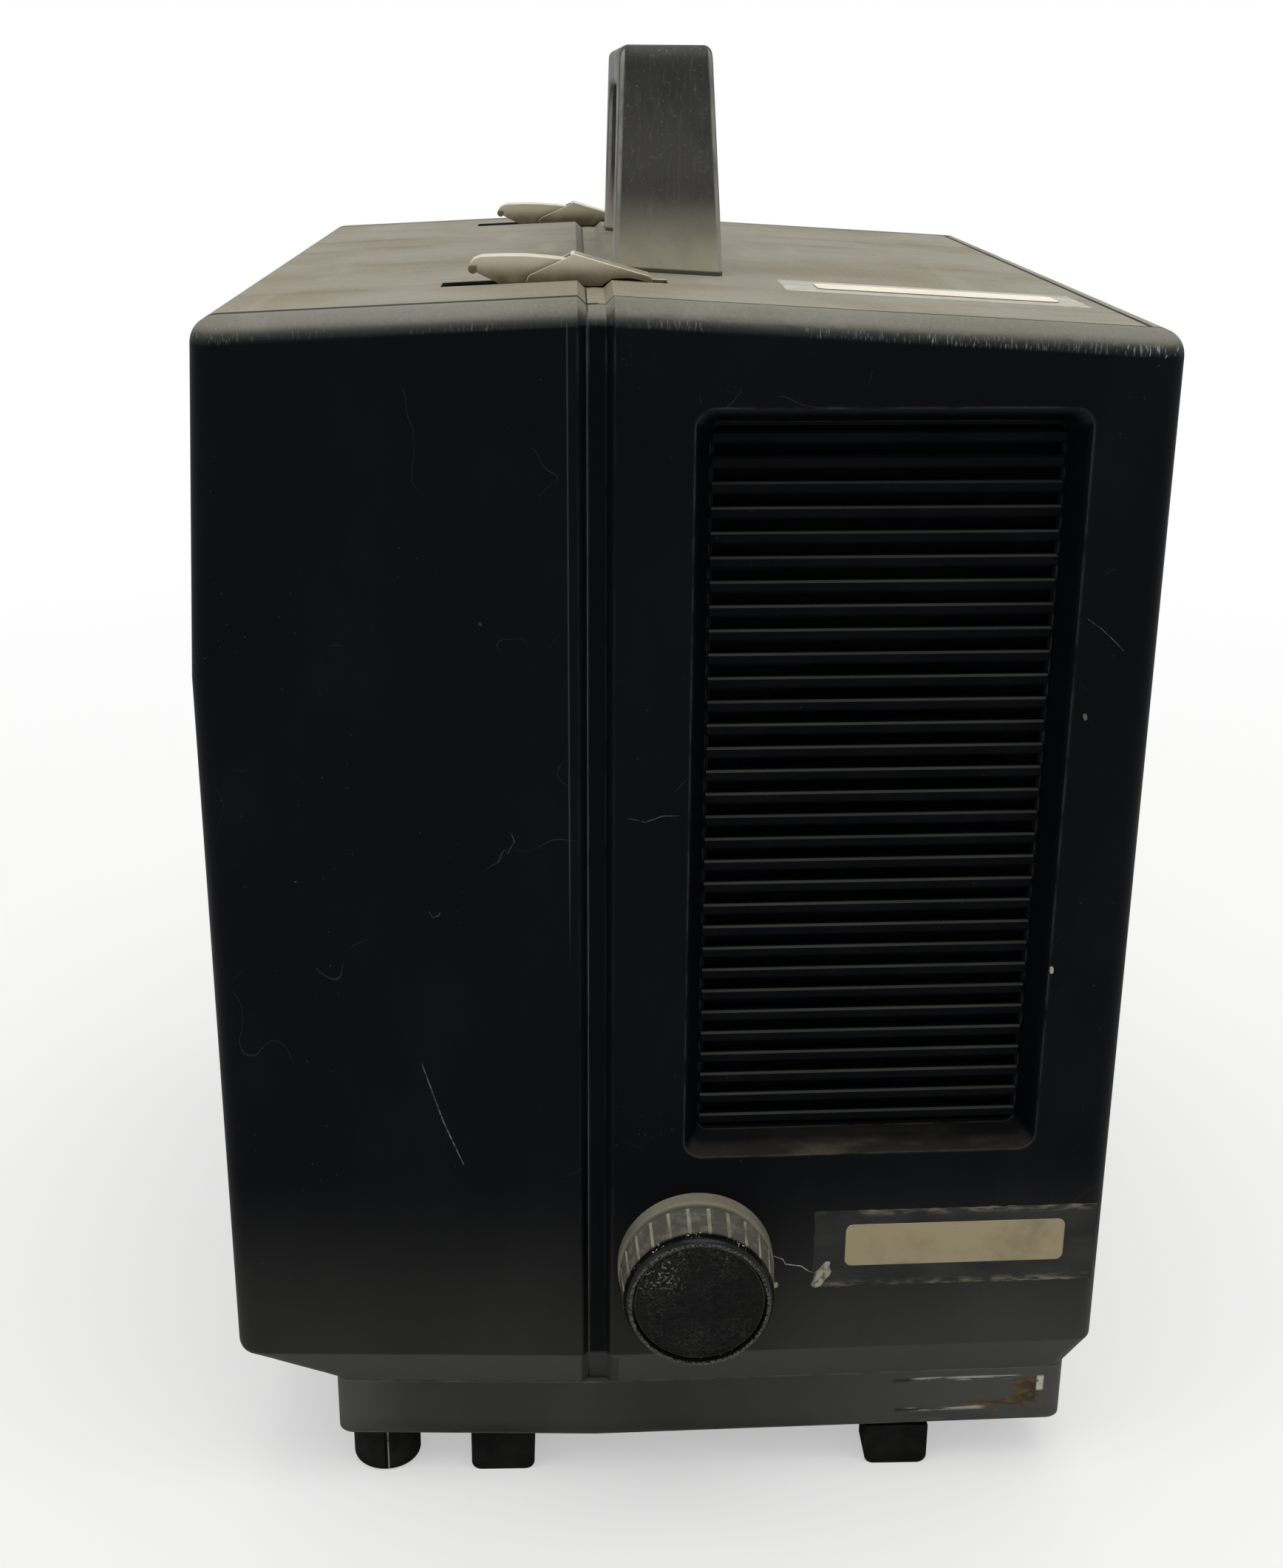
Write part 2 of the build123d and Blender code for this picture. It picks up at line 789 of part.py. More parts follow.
with BuildPart() as latch_brackets:
    for middle in latch_middles.values():
        block_between((bracket_left, bracket_right), (middle - 12, middle + 12), (side_break, far))
    add(inner_block, mode=Mode.INTERSECT)
    add(base_block, mode=Mode.SUBTRACT)
    base_z = roof_height(bracket_left) - wall - 1
    for middle in latch_middles.values():
        web = (middle - bracket_half_width, middle + bracket_half_width)
        flat_bar(
            web,
            [
                (bracket_left + 2, base_z),
                (bracket_left + 2, base_z + 1.5),
                (bracket_right - 2, base_z + 2.2),
                (pivot_x - 5, groove_floor_z + 1),
                (pivot_x, pivot_z + 1),
                (pivot_x, groove_floor_z + 0.4),
                (parting_x, groove_floor_z + 0.4),
                (plate_x - register_width - 1.5, base_z + 1.6),
                (bracket_right - 0.5, base_z + 0.8),
                (bracket_right - 0.5, base_z),
            ],
        )
        bar_y(web[0], web[1], pivot_x, pivot_z, lever_ear - 0.3)
        bar_y(middle - lever_half_width, middle + lever_half_width, pivot_x, pivot_z, pin_radius)
latch_brackets.part.label = "latch_brackets"
export_step(latch_brackets.part, "parts/latch_brackets.step")

tip_x = seam_x + lever_tip_x
crest_x = seam_x + ridge_x
hook_x = seam_x + hook_reach
for place, middle in latch_middles.items():
    with BuildPart() as latch_lever:
        for side in (-1, 1):
            outer = middle + side * lever_half_width
            plate = sorted((outer, outer - side * latch_plate))
            hull_bar(
                plate,
                [
                    (pivot_x, pivot_z, lever_ear),
                    (link_x, link_z, lever_ear + 0.4),
                    (crest_x - 1.5, crown_z - 3.4, 2),
                ],
            )
            flat_bar(
                plate,
                [
                    (tip_x + 0.2, crown_z - 1.8),
                    (tip_x + 0.4, crown_z - 4.6),
                    (tip_x + 2, crown_z - 5.6),
                    (tip_x + 7.4, ridge_height - 1.2),
                    (tip_x + 11.5, ridge_height - 3.2),
                    (link_x, link_z - lever_ear),
                    (crest_x - 1.5, crown_z - 1.8),
                    (tip_x + 9.7, crown_z - 0.6),
                    (tip_x + 2.8, crown_z - 0.8),
                ],
            )
        full = (middle - lever_half_width, middle + lever_half_width)
        flat_bar(
            full,
            [
                (tip_x - 1.3, crown_z - 3.7),
                (tip_x - 0.8, crown_z - 2.4),
                (tip_x + 0.3, crown_z - 1.2),
                (tip_x + 2.7, crown_z - 0.3),
                (tip_x + 9.7, crown_z),
                (tip_x + 16.8, crown_z),
                (tip_x + 24, crown_z - 0.5),
                (crest_x - 1, crown_z - 1.3),
                (crest_x - 1, crown_z - 2.7),
                (tip_x + 23.8, crown_z - 1.9),
                (tip_x + 10, crown_z - 1.4),
                (tip_x + 3.2, crown_z - 1.7),
                (tip_x + 1.2, crown_z - 2.5),
                (tip_x + 0.4, crown_z - 3.8),
            ],
        )
        bar_y(full[0], full[1], tip_x + 0.1, crown_z - 4.1, 1.5)
        for x, z in ((pivot_x, pivot_z), (link_x, link_z)):
            bar_y(full[0], full[1], x, z, pin_radius + pin_fit, Mode.SUBTRACT)
    latch_lever.part.label = f"{place}_latch_lever"
    export_step(latch_lever.part, f"parts/{place}_latch_lever.step")

    with BuildPart() as latch_hook:
        for side in (-1, 1):
            outer = middle + side * hook_half_width
            plate = sorted((outer, middle + side * (lever_half_width + latch_gap)))
            hull_bar(plate, [(link_x, link_z, 2.8), (crest_x + 0.6, crown_z - 1, 1.5)])
            hull_bar(plate, [(crest_x + 0.6, crown_z - 1, 1.5), (hook_x - 1, link_z + 1.3, 1)])
            flat_bar(
                plate,
                [
                    (link_x, link_z - 2.6),
                    (link_x - 1, link_z + 1),
                    (crest_x + 0.6, crown_z - 0.4),
                    (hook_x - 1, link_z + 1.6),
                    (seam_x + 5.4, ridge_height + 0.2),
                    (seam_x + 2.2, ridge_height - 2),
                    (seam_x - 3.2, ridge_height - 2),
                ],
            )
        full = (middle - hook_half_width, middle + hook_half_width)
        flat_bar(
            full,
            [
                (crest_x - 0.6, crown_z + 0.4),
                (crest_x + 0.4, crown_z + 0.8),
                (hook_x - 1, link_z + 2.3),
                (hook_x + 0.4, link_z + 1.6),
                (hook_x + 0.9, link_z + 0.8),
                (hook_x + 0.6, link_z + 0.2),
                (hook_x - 1, link_z + 1),
                (crest_x + 0.6, crown_z - 0.6),
            ],
        )
        flat_bar(
            full,
            [
                (hook_x - 0.7, link_z + 1.5),
                (hook_x + 0.6, link_z + 1.2),
                (hook_x + 0.6, link_z + 1 - hook_lip),
                (hook_x - 0.7, link_z + 1 - hook_lip),
            ],
        )
        bar_y(full[0], full[1], link_x, link_z, pin_radius)
    latch_hook.part.label = f"{place}_latch_hook"
    export_step(latch_hook.part, f"parts/{place}_latch_hook.step")


def turned_y(x, z, points, mode=Mode.ADD):
    """Round piece about an axis along Y, from its half section in radius and Y."""
    with BuildSketch(Plane(origin=(x, 0, z), x_dir=(1, 0, 0), z_dir=(0, 0, 1))) as section:
        with BuildLine():
            Polyline(*points, close=True)
        make_face()
    revolve(section.sketch, axis=Axis((x, 0, z), (0, 1, 0)), mode=mode)


def turned_x(y, z, points, mode=Mode.ADD):
    """Round piece about an axis along X, from its half section in X and radius."""
    with BuildSketch(Plane(origin=(0, y, z), x_dir=(1, 0, 0), z_dir=(0, -1, 0))) as section:
        with BuildLine():
            Polyline(*points, close=True)
        make_face()
    revolve(section.sketch, axis=Axis((0, y, z), (1, 0, 0)), mode=mode)


# Tilt control: collar, fluted knob with its cap, shaft, pinion and rack
knob_front = knob_face - knob_reach
collar_front = knob_face - collar_depth
knob_back = collar_front - knob_gap
rack_middle = (rack_y[0] + rack_y[1]) / 2
gear_front = rack_middle - gear_face / 2

with BuildPart() as knob_collar:
    bar_y(collar_front, knob_face + 2, knob_x, knob_height, collar_radius)
    add(outer_block, mode=Mode.SUBTRACT)
    fillet(knob_collar.edges().group_by(Axis.Y)[0], 1.5)
    bar_y(collar_front - 1, knob_face + 3, knob_x, knob_height, bushing_radius + running_fit, Mode.SUBTRACT)
knob_collar.part.label = "knob_collar"
export_step(knob_collar.part, "parts/knob_collar.step")

recess_radius = cap_radius + cap_gap
recess_depth = cap_thickness + cap_recess
with BuildPart() as tilt_knob:
    turned_y(
        knob_x,
        knob_height,
        [
            (0, knob_back),
            (knob_radius, knob_back),
            (knob_radius, knob_back - 2),
            (knob_nose_radius + 0.4, knob_front + 3),
            (knob_nose_radius, knob_front + 1.2),
            (knob_nose_radius - 1.2, knob_front),
            (recess_radius + 0.6, knob_front),
            (recess_radius, knob_front + 0.6),
            (recess_radius, knob_front + recess_depth),
            (0, knob_front + recess_depth),
        ],
    )
    flute_plane = Plane(origin=(knob_x, knob_front + 4, knob_height), x_dir=(1, 0, 0), z_dir=(0, 1, 0))
    with BuildSketch(flute_plane):
        with PolarLocations(knob_radius + 0.6, flute_count):
            Circle(flute_radius)
    extrude(amount=knob_back - knob_front - 6, mode=Mode.SUBTRACT)
    shaft_hole = (knob_front + recess_depth + 2, knob_back + 1)
    bar_y(*shaft_hole, knob_x, knob_height, tilt_shaft_radius, Mode.SUBTRACT)
tilt_knob.part.label = "tilt_knob"
export_step(tilt_knob.part, "parts/tilt_knob.step")

with BuildPart() as knob_cap:
    cap_back = knob_front + recess_depth
    turned_y(
        knob_x,
        knob_height,
        [
            (0, cap_back),
            (cap_radius, cap_back),
            (cap_radius, cap_back - cap_thickness + 0.6),
            (cap_radius - 0.6, cap_back - cap_thickness),
            (0, cap_back - cap_thickness - 0.4),
        ],
    )
knob_cap.part.label = "knob_cap"
export_step(knob_cap.part, "parts/knob_cap.step")

with BuildPart() as tilt_shaft:
    bar_y(cap_back + 2, rack_y[1] + 1, knob_x, knob_height, tilt_shaft_radius)
tilt_shaft.part.label = "tilt_shaft"
export_step(tilt_shaft.part, "parts/tilt_shaft.step")

flange_front = front_face(knob_x + bushing_flange) + wall
with BuildPart() as shaft_bushing:
    bar_y(collar_front + 1, flange_front, knob_x, knob_height, bushing_radius)
    bar_y(flange_front, flange_front + bushing_flange_thickness, knob_x, knob_height, bushing_flange)
    bar_y(collar_front, gear_front, knob_x, knob_height, tilt_shaft_radius + running_fit, Mode.SUBTRACT)
shaft_bushing.part.label = "shaft_bushing"
export_step(shaft_bushing.part, "parts/shaft_bushing.step")

tooth_angle = radians(pressure_angle)
base_radius = pitch_radius * cos(tooth_angle)
root_radius = pitch_radius - 1.25 * gear_module
tip_radius = pitch_radius + gear_module


def flank_angle(radius):
    """Half of a pinion tooth's angle at a radius, on an involute flank."""
    half_pitch = (pi * gear_module / 2 - gear_backlash / 2) / (2 * pitch_radius)
    roll = (max(radius, base_radius) ** 2 / base_radius**2 - 1) ** 0.5
    involute = tan(tooth_angle) - tooth_angle
    return half_pitch + involute - (roll - atan(roll))


flank_radii = [root_radius - 0.3, base_radius] + [
    base_radius + (tip_radius - base_radius) * step / 4 for step in range(1, 5)
]
tooth = [(r * cos(flank_angle(r)), r * sin(flank_angle(r))) for r in flank_radii]
tooth += [(x, -y) for x, y in reversed(tooth)]
pinion_plane = Plane(origin=(knob_x, gear_front + gear_face, knob_height), x_dir=(1, 0, 0), z_dir=(0, -1, 0))
with BuildPart() as tilt_pinion:
    with BuildSketch(pinion_plane):
        Circle(root_radius)
        with PolarLocations(0, pinion_teeth):
            Polygon(*tooth, align=None)
        Circle(tilt_shaft_radius, mode=Mode.SUBTRACT)
    extrude(amount=gear_face)
tilt_pinion.part.label = "tilt_pinion"
export_step(tilt_pinion.part, "parts/tilt_pinion.step")

# Front foot that the tilt rack drives: an arched bar on two rubber pads
pad_offset = 3.8
pad_from_front = 12
bar_setback = 4.5
pad_middle = knob_x + pad_offset
pad_y = (front_y + pad_from_front, front_y + pad_from_front + pad_depth)
bar_left = pad_middle - pad_spacing / 2 - pad_width / 2
bar_right = pad_middle + pad_spacing / 2 + pad_width / 2
bar_y_limits = (pad_y[0] + bar_setback, rack_y[1])
with BuildPart() as tilt_bar:
    with BuildSketch(Plane.XZ.offset(-bar_y_limits[1])):
        with BuildLine():
            low = ThreePointArc(
                (bar_left, pad_height), (pad_middle, pad_height + bar_rise), (bar_right, pad_height)
            )
            Line(low @ 1, (bar_right, pad_height + bar_thickness))
            high = ThreePointArc(
                (bar_right, pad_height + bar_thickness),
                (pad_middle, pad_height + bar_rise + bar_thickness),
                (bar_left, pad_height + bar_thickness),
            )
            Line(high @ 1, low @ 0)
        make_face()
    extrude(amount=bar_y_limits[1] - bar_y_limits[0])
tilt_bar.part.label = "tilt_bar"
export_step(tilt_bar.part, "parts/tilt_bar.step")

with BuildPart() as tilt_pads:
    for side in (-1, 1):
        middle = pad_middle + side * pad_spacing / 2
        block_between((middle - pad_width / 2, middle + pad_width / 2), pad_y, (0, foot_height - 2))
    fillet(tilt_pads.edges().filter_by(Axis.Y).group_by(Axis.Z)[0], 3.5)
    add(tilt_bar.part, mode=Mode.SUBTRACT)
tilt_pads.part.label = "tilt_pads"
export_step(tilt_pads.part, "parts/tilt_pads.step")

rack_pitch = pi * gear_module
tooth_half = rack_pitch / 4 - gear_backlash / 4
tooth_slope = tan(tooth_angle)
tooth_top = rack_line - rack_addendum * gear_module
tooth_count = int(tilt_travel / rack_pitch) + 5
rack_top = knob_height + (tooth_count - 2) * rack_pitch
with BuildPart() as tilt_rack:
    block_between((rack_root, rack_back), rack_y, (pad_height + bar_thickness, rack_top))
    for number in range(tooth_count):
        z = knob_height + (number - 1.5) * rack_pitch - rack_pitch
        root_half = tooth_half + (rack_root - rack_line) * tooth_slope
        top_half = tooth_half - (rack_line - tooth_top) * tooth_slope
        flat_bar(
            rack_y,
            [
                (rack_root + 0.2, z - root_half),
                (rack_root, z - root_half),
                (tooth_top, z - top_half),
                (tooth_top, z + top_half),
                (rack_root, z + root_half),
                (rack_root + 0.2, z + root_half),
            ],
        )
    block_between((rack_root, rack_back), rack_y, (pad_height, pad_height + bar_rise), Mode.SUBTRACT)
    add(tilt_bar.part, mode=Mode.SUBTRACT)
tilt_rack.part.label = "tilt_rack"
export_step(tilt_rack.part, "parts/tilt_rack.step")

with BuildPart() as rack_guide:
    block_between(
        (slot_x[0] - guide_wall, slot_x[1] + guide_wall),
        (slot_y[0] - guide_wall, slot_y[1] + guide_wall),
        (plinth_top, plinth_top + guide_height),
    )
    block_between(slot_x, slot_y, (plinth_top, plinth_top + guide_height), Mode.SUBTRACT)
rack_guide.part.label = "rack_guide"
export_step(rack_guide.part, "parts/rack_guide.step")

# Loudspeaker behind the grille
speaker_u = (opening_left + opening_right) / 2
speaker_height = optical_height
basket_radius = speaker_radius - 5
basket_end = magnet_radius + 2


def face_disc(depth, radius):
    """Disc on the speaker's axis, at a depth behind the front face."""
    with BuildSketch(front_plane.offset(-depth)) as disc:
        with Locations((speaker_u, speaker_height)):
            Circle(radius)
    return disc.sketch


basket_sheet = 2
coil_radius = 13
coil_length = 8
coil_gap = 0.3
cone_gap = 0.4
baffle_back = grille_back + baffle_thickness
basket_back = grille_back + speaker_depth
cone_radius = basket_radius - basket_sheet - cone_gap
with BuildPart() as speaker_frame:
    extrude(face_panel(baffle_back, grille_margin - bevel, opening_corner), amount=baffle_thickness)
    loft([face_disc(baffle_back, speaker_radius), face_disc(basket_back, basket_end)])
    mouth = face_disc(grille_back, basket_radius - 1)
    floor = face_disc(basket_back - basket_sheet, basket_end - basket_sheet)
    loft([mouth, floor], mode=Mode.SUBTRACT)
    extrude(face_disc(basket_back, coil_radius), amount=basket_sheet + 0.5, mode=Mode.SUBTRACT)
speaker_frame.part.label = "speaker_frame"
export_step(speaker_frame.part, "parts/speaker_frame.step")

cone_back = basket_back - coil_length
cone_front = grille_back + basket_sheet
with BuildPart() as speaker_cone:
    loft([face_disc(cone_front, cone_radius), face_disc(cone_back, coil_radius - 1)])
    loft(
        [
            face_disc(cone_front - 0.2, cone_radius - cone_thickness),
            face_disc(cone_back - 2 * cone_thickness, coil_radius - 1),
        ],
        mode=Mode.SUBTRACT,
    )
    extrude(face_disc(basket_back, coil_radius - coil_gap), amount=coil_length)
speaker_cone.part.label = "speaker_cone"
export_step(speaker_cone.part, "parts/speaker_cone.step")

with BuildPart() as speaker_magnet:
    extrude(face_disc(basket_back + magnet_depth, magnet_radius), amount=magnet_depth)
    fillet(speaker_magnet.edges().group_by(Axis.Y)[-1], 1.5)
speaker_magnet.part.label = "speaker_magnet"
export_step(speaker_magnet.part, "parts/speaker_magnet.step")

# Motor with its rotor, pulley and cooling fan
pulley_gap = 3
pulley_x = inner_x + pulley_gap
timing_x = pulley_x + pulley_width + pulley_gap
motor_x = timing_x + pulley_width + flywheel_width + motor_gap
fan_x = right_x - fan_inset
fan_end = fan_x + fan_width
rotor_end = fan_x - fan_to_motor
motor_shell = 4
rotor_setback = motor_shell + 3
motor_foot_inset = 10
motor_foot_half = 24
motor_flange_half = 38
motor_flange_thickness = 4
with BuildPart() as motor_housing:
    foot_x = (motor_x + motor_foot_inset, rotor_end - motor_foot_inset)
    bar_x(motor_x, rotor_end, motor_y, motor_height, motor_radius)
    flange_top = plinth_top + motor_flange_thickness
    for half, top in ((motor_foot_half, motor_height), (motor_flange_half, flange_top)):
        block_between(foot_x, (motor_y - half, motor_y + half), (plinth_top, top))
    bore = rotor_radius + rotor_gap
    bar_x(motor_x + motor_shell, rotor_end - motor_shell, motor_y, motor_height, bore, Mode.SUBTRACT)
    bar_x(motor_x, rotor_end, motor_y, motor_height, shaft_radius + running_fit, Mode.SUBTRACT)
motor_housing.part.label = "motor_housing"
export_step(motor_housing.part, "parts/motor_housing.step")

with BuildPart() as motor_rotor:
    turned_x(
        motor_y,
        motor_height,
        [
            (pulley_x - 1, 0),
            (pulley_x - 1, shaft_radius),
            (pulley_x, shaft_radius),
            (pulley_x, motor_pulley_radius),
            (pulley_x + pulley_width, motor_pulley_radius),
            (pulley_x + pulley_width, shaft_radius),
            (motor_x + rotor_setback, shaft_radius),
            (motor_x + rotor_setback, rotor_radius),
            (rotor_end - rotor_setback, rotor_radius),
            (rotor_end - rotor_setback, shaft_radius),
            (fan_end, shaft_radius),
            (fan_end, 0),
        ],
    )
motor_rotor.part.label = "motor_rotor"
export_step(motor_rotor.part, "parts/motor_rotor.step")

fan_hub = shaft_radius + 5
blade_length = 10
blade_thickness = 1.4
blade_angle = 25
with BuildPart() as cooling_fan:
    bar_x(fan_x, fan_end - fan_plate, motor_y, motor_height, fan_hub)
    bar_x(fan_x, fan_x + fan_plate, motor_y, motor_height, fan_radius)
    with BuildSketch(Plane(origin=(fan_x, motor_y, motor_height), x_dir=(0, 1, 0), z_dir=(1, 0, 0))):
        with PolarLocations(fan_radius - blade_length * 0.6, fan_blades):
            Rectangle(blade_length, blade_thickness, rotation=blade_angle)
    extrude(amount=fan_width)
    bar_x(fan_end - fan_plate, fan_end, motor_y, motor_height, fan_radius)
    bar_x(fan_end - fan_plate, fan_end, motor_y, motor_height, fan_radius - blade_length / 2, Mode.SUBTRACT)
    bar_x(fan_x, fan_end, motor_y, motor_height, shaft_radius, Mode.SUBTRACT)
cooling_fan.part.label = "cooling_fan"
export_step(cooling_fan.part, "parts/cooling_fan.step")

scroll_radius = fan_radius + fan_space
scroll_half = scroll_radius + fan_wall
scroll_x = (fan_x - fan_plate, fan_end + fan_plate)
scroll_ends = (scroll_x[0] - fan_wall, scroll_x[1] + fan_wall)
scroll_tongue = 6
with BuildPart() as fan_housing:
    block_between(
        scroll_ends, (motor_y - scroll_half, motor_y + scroll_half), (plinth_top, motor_height + scroll_half)
    )
    bar_x(scroll_x[0], scroll_x[1], motor_y, motor_height, scroll_radius, Mode.SUBTRACT)
    bar_x(fan_end, scroll_ends[1], motor_y, motor_height, fan_radius - 2 * fan_space, Mode.SUBTRACT)
    bar_x(scroll_ends[0], fan_x, motor_y, motor_height, shaft_radius + fan_plate, Mode.SUBTRACT)
    outlet_y = (motor_y - scroll_radius, motor_y - scroll_tongue)
    block_between(scroll_x, outlet_y, (motor_height, far), Mode.SUBTRACT)
fan_housing.part.label = "fan_housing"
export_step(fan_housing.part, "parts/fan_housing.step")


def belt_loop(x, pulleys):
    """Belt round pulleys given as y, z and radius, x being the belt's two edges."""
    for grow, mode in ((belt_gap + belt_thickness, Mode.ADD), (belt_gap, Mode.SUBTRACT)):
        with BuildSketch(Plane.YZ.offset(x[0])) as loop:
            for y, z, radius in pulleys:
                with Locations((y, z)):
                    Circle(radius + grow)
            make_hull(loop.edges())
        extrude(loop.sketch, amount=x[1] - x[0], mode=mode)


upper_z = optical_height + sprocket_rise
lower_z = optical_height - sprocket_rise
belt_margin = (pulley_width - belt_width) / 2
with BuildPart() as drive_belt:
    belt_loop(
        (pulley_x + belt_margin, pulley_x + belt_margin + belt_width),
        [(motor_y, motor_height, motor_pulley_radius), (shutter_y, optical_height, main_pulley_radius)],
    )
drive_belt.part.label = "drive_belt"
export_step(drive_belt.part, "parts/drive_belt.step")

with BuildPart() as timing_belt:
    belt_loop(
        (timing_x + belt_margin, timing_x + belt_margin + belt_width),
        [
            (sprocket_y, upper_z, sprocket_pulley_radius),
            (shutter_y, optical_height, timing_pulley_radius),
            (sprocket_y, lower_z, sprocket_pulley_radius),
        ],
    )
timing_belt.part.label = "timing_belt"
export_step(timing_belt.part, "parts/timing_belt.step")

# Main shaft with its two pulleys, and the barrel shutter that it turns
shutter_start = film_x - shutter_width / 2
shutter_end = film_x + shutter_width / 2
shutter_hub = 8
shutter_web = 2
shutter_rim = 6
with BuildPart() as main_shaft:
    turned_x(
        shutter_y,
        optical_height,
        [
            (shutter_end - shutter_hub, 0),
            (shutter_end - shutter_hub, shaft_radius),
            (pulley_x, shaft_radius),
            (pulley_x, main_pulley_radius),
            (pulley_x + pulley_width, main_pulley_radius),
            (pulley_x + pulley_width, shaft_radius),
            (timing_x, shaft_radius),
            (timing_x, timing_pulley_radius),
            (timing_x + pulley_width, timing_pulley_radius),
            (timing_x + pulley_width, 0),
        ],
    )
main_shaft.part.label = "main_shaft"
export_step(main_shaft.part, "parts/main_shaft.step")

with BuildPart() as barrel_shutter:
    inner_radius = shutter_radius - shutter_wall
    hub_start = shutter_end - shutter_hub
    bar_x(shutter_start, shutter_end, shutter_y, optical_height, shutter_radius)
    bar_x(shutter_start, shutter_end - shutter_web, shutter_y, optical_height, inner_radius, Mode.SUBTRACT)
    bar_x(hub_start, shutter_end, shutter_y, optical_height, 2 * shaft_radius)
    bar_x(hub_start, shutter_end, shutter_y, optical_height, shaft_radius, Mode.SUBTRACT)
    block_between(
        (shutter_start + shutter_rim, hub_start - shutter_rim),
        everywhere,
        (optical_height - shutter_radius / 2, optical_height + shutter_radius / 2),
        Mode.SUBTRACT,
    )
barrel_shutter.part.label = "barrel_shutter"
export_step(barrel_shutter.part, "parts/barrel_shutter.step")

# Film sprockets, each turned in one piece with its shaft and pulley
film_edge = (film_x - sprocket_width / 2, film_x + sprocket_width / 2)
tooth_inset = 2.2
tooth_length = 1.2
for name, z in (("upper_sprocket", upper_z), ("lower_sprocket", lower_z)):
    with BuildPart() as sprocket:
        turned_x(
            sprocket_y,
            z,
            [
                (film_edge[0], 0),
                (film_edge[0], sprocket_radius),
                (film_edge[1], sprocket_radius),
                (film_edge[1], shaft_radius),
                (timing_x, shaft_radius),
                (timing_x, sprocket_pulley_radius),
                (timing_x + pulley_width, sprocket_pulley_radius),
                (timing_x + pulley_width, 0),
            ],
        )
        tooth_place = (film_edge[1] - tooth_inset, sprocket_y, z)
        with BuildSketch(Plane(origin=tooth_place, x_dir=(0, 1, 0), z_dir=(1, 0, 0))):
            with PolarLocations(sprocket_radius + tooth_length / 3, sprocket_teeth):
                Rectangle(2 * tooth_length, tooth_length)
        extrude(amount=tooth_length)
    sprocket.part.label = name
    export_step(sprocket.part, f"parts/{name}.step")

# Sound drum and the flywheel on its shaft
flywheel_x = motor_x - motor_gap / 2 - flywheel_width
flywheel_rim = 8
flywheel_dish = 3
with BuildPart() as sound_drum:
    turned_x(
        drum_y,
        drum_height,
        [
            (film_edge[0], 0),
            (film_edge[0], drum_radius),
            (film_edge[1], drum_radius),
            (film_edge[1], shaft_radius),
            (flywheel_x + flywheel_width, shaft_radius),
            (flywheel_x + flywheel_width, 0),
        ],
    )
sound_drum.part.label = "sound_drum"
export_step(sound_drum.part, "parts/sound_drum.step")

with BuildPart() as flywheel:
    dish = flywheel_radius - flywheel_rim
    bar_x(flywheel_x, flywheel_x + flywheel_width, drum_y, drum_height, flywheel_radius)
    bar_x(flywheel_x, flywheel_x + flywheel_dish, drum_y, drum_height, dish, Mode.SUBTRACT)
    bar_x(flywheel_x, flywheel_x + flywheel_dish, drum_y, drum_height, 2 * shaft_radius)
    bar_x(flywheel_x, flywheel_x + flywheel_width, drum_y, drum_height, shaft_radius, Mode.SUBTRACT)
flywheel.part.label = "flywheel"
export_step(flywheel.part, "parts/flywheel.step")

# Sound head in front of the drum, with its exciter lamp tube
head_gap = 4
head_depth = 30
head_half_height = 18
head_overhang = 12
optic_radius = 5
optic_room = 3
optic_setback = 6
exciter_radius = 9
exciter_rise = 16
head_back = drum_y - drum_radius - head_gap
head_front = head_back - head_depth
with BuildPart() as sound_head:
    block_between(
        (film_x - head_overhang, plate_x),
        (head_front, head_back),
        (drum_height - head_half_height, drum_height + head_half_height),
    )
    optic_front = head_front + optic_setback
    optic_bore = optic_radius + optic_room
    bar_y(optic_front, head_back, film_x, drum_height, optic_bore, Mode.SUBTRACT)
    bar_y(optic_front, head_back - optic_setback, film_x, drum_height, optic_radius)
    head_top = drum_height + head_half_height
    bar_z(head_top, head_top + exciter_rise, film_x, (head_front + head_back) / 2, exciter_radius)
sound_head.part.label = "sound_head"
export_step(sound_head.part, "parts/sound_head.step")

# Film gate, lens holder and focusing lens
aperture_width = 10.3
aperture_height = 7.5
gate_overhang = 22
gate_half_height = 36
film_slot = 0.4
film_slot_room = 0.1
with BuildPart() as film_gate:
    block_between(
        (film_x - gate_overhang, plate_x),
        (gate_back - gate_thickness, gate_back),
        (optical_height - gate_half_height, optical_height + gate_half_height),
    )
    block_between(
        (film_x - aperture_width / 2, film_x + aperture_width / 2),
        everywhere,
        (optical_height - aperture_height / 2, optical_height + aperture_height / 2),
        Mode.SUBTRACT,
    )
    block_between(
        (film_edge[0] - film_slot_room, film_edge[1] + film_slot_room),
        (gate_y - film_slot, gate_y + film_slot),
        everywhere,
        Mode.SUBTRACT,
    )
film_gate.part.label = "film_gate"
export_step(film_gate.part, "parts/film_gate.step")

lens_gap = 3
holder_setback = 8
holder_length = 40
holder_half = 26
holder_corner = 10
lens_back = gate_back - gate_thickness - focus_travel - lens_gap
lens_front = lens_back - lens_length
holder_back = lens_back - holder_setback
with BuildPart() as lens_holder:
    block_between(
        (film_x - holder_half, plate_x),
        (holder_back - holder_length, holder_back),
        (optical_height - holder_half, optical_height + holder_half),
    )
    fillet(lens_holder.edges().filter_by(Axis.Y).group_by(Axis.X)[0], holder_corner)
    bore = lens_radius + running_fit
    bar_y(holder_back - holder_length, holder_back, film_x, optical_height, bore, Mode.SUBTRACT)
lens_holder.part.label = "lens_holder"
export_step(lens_holder.part, "parts/lens_holder.step")

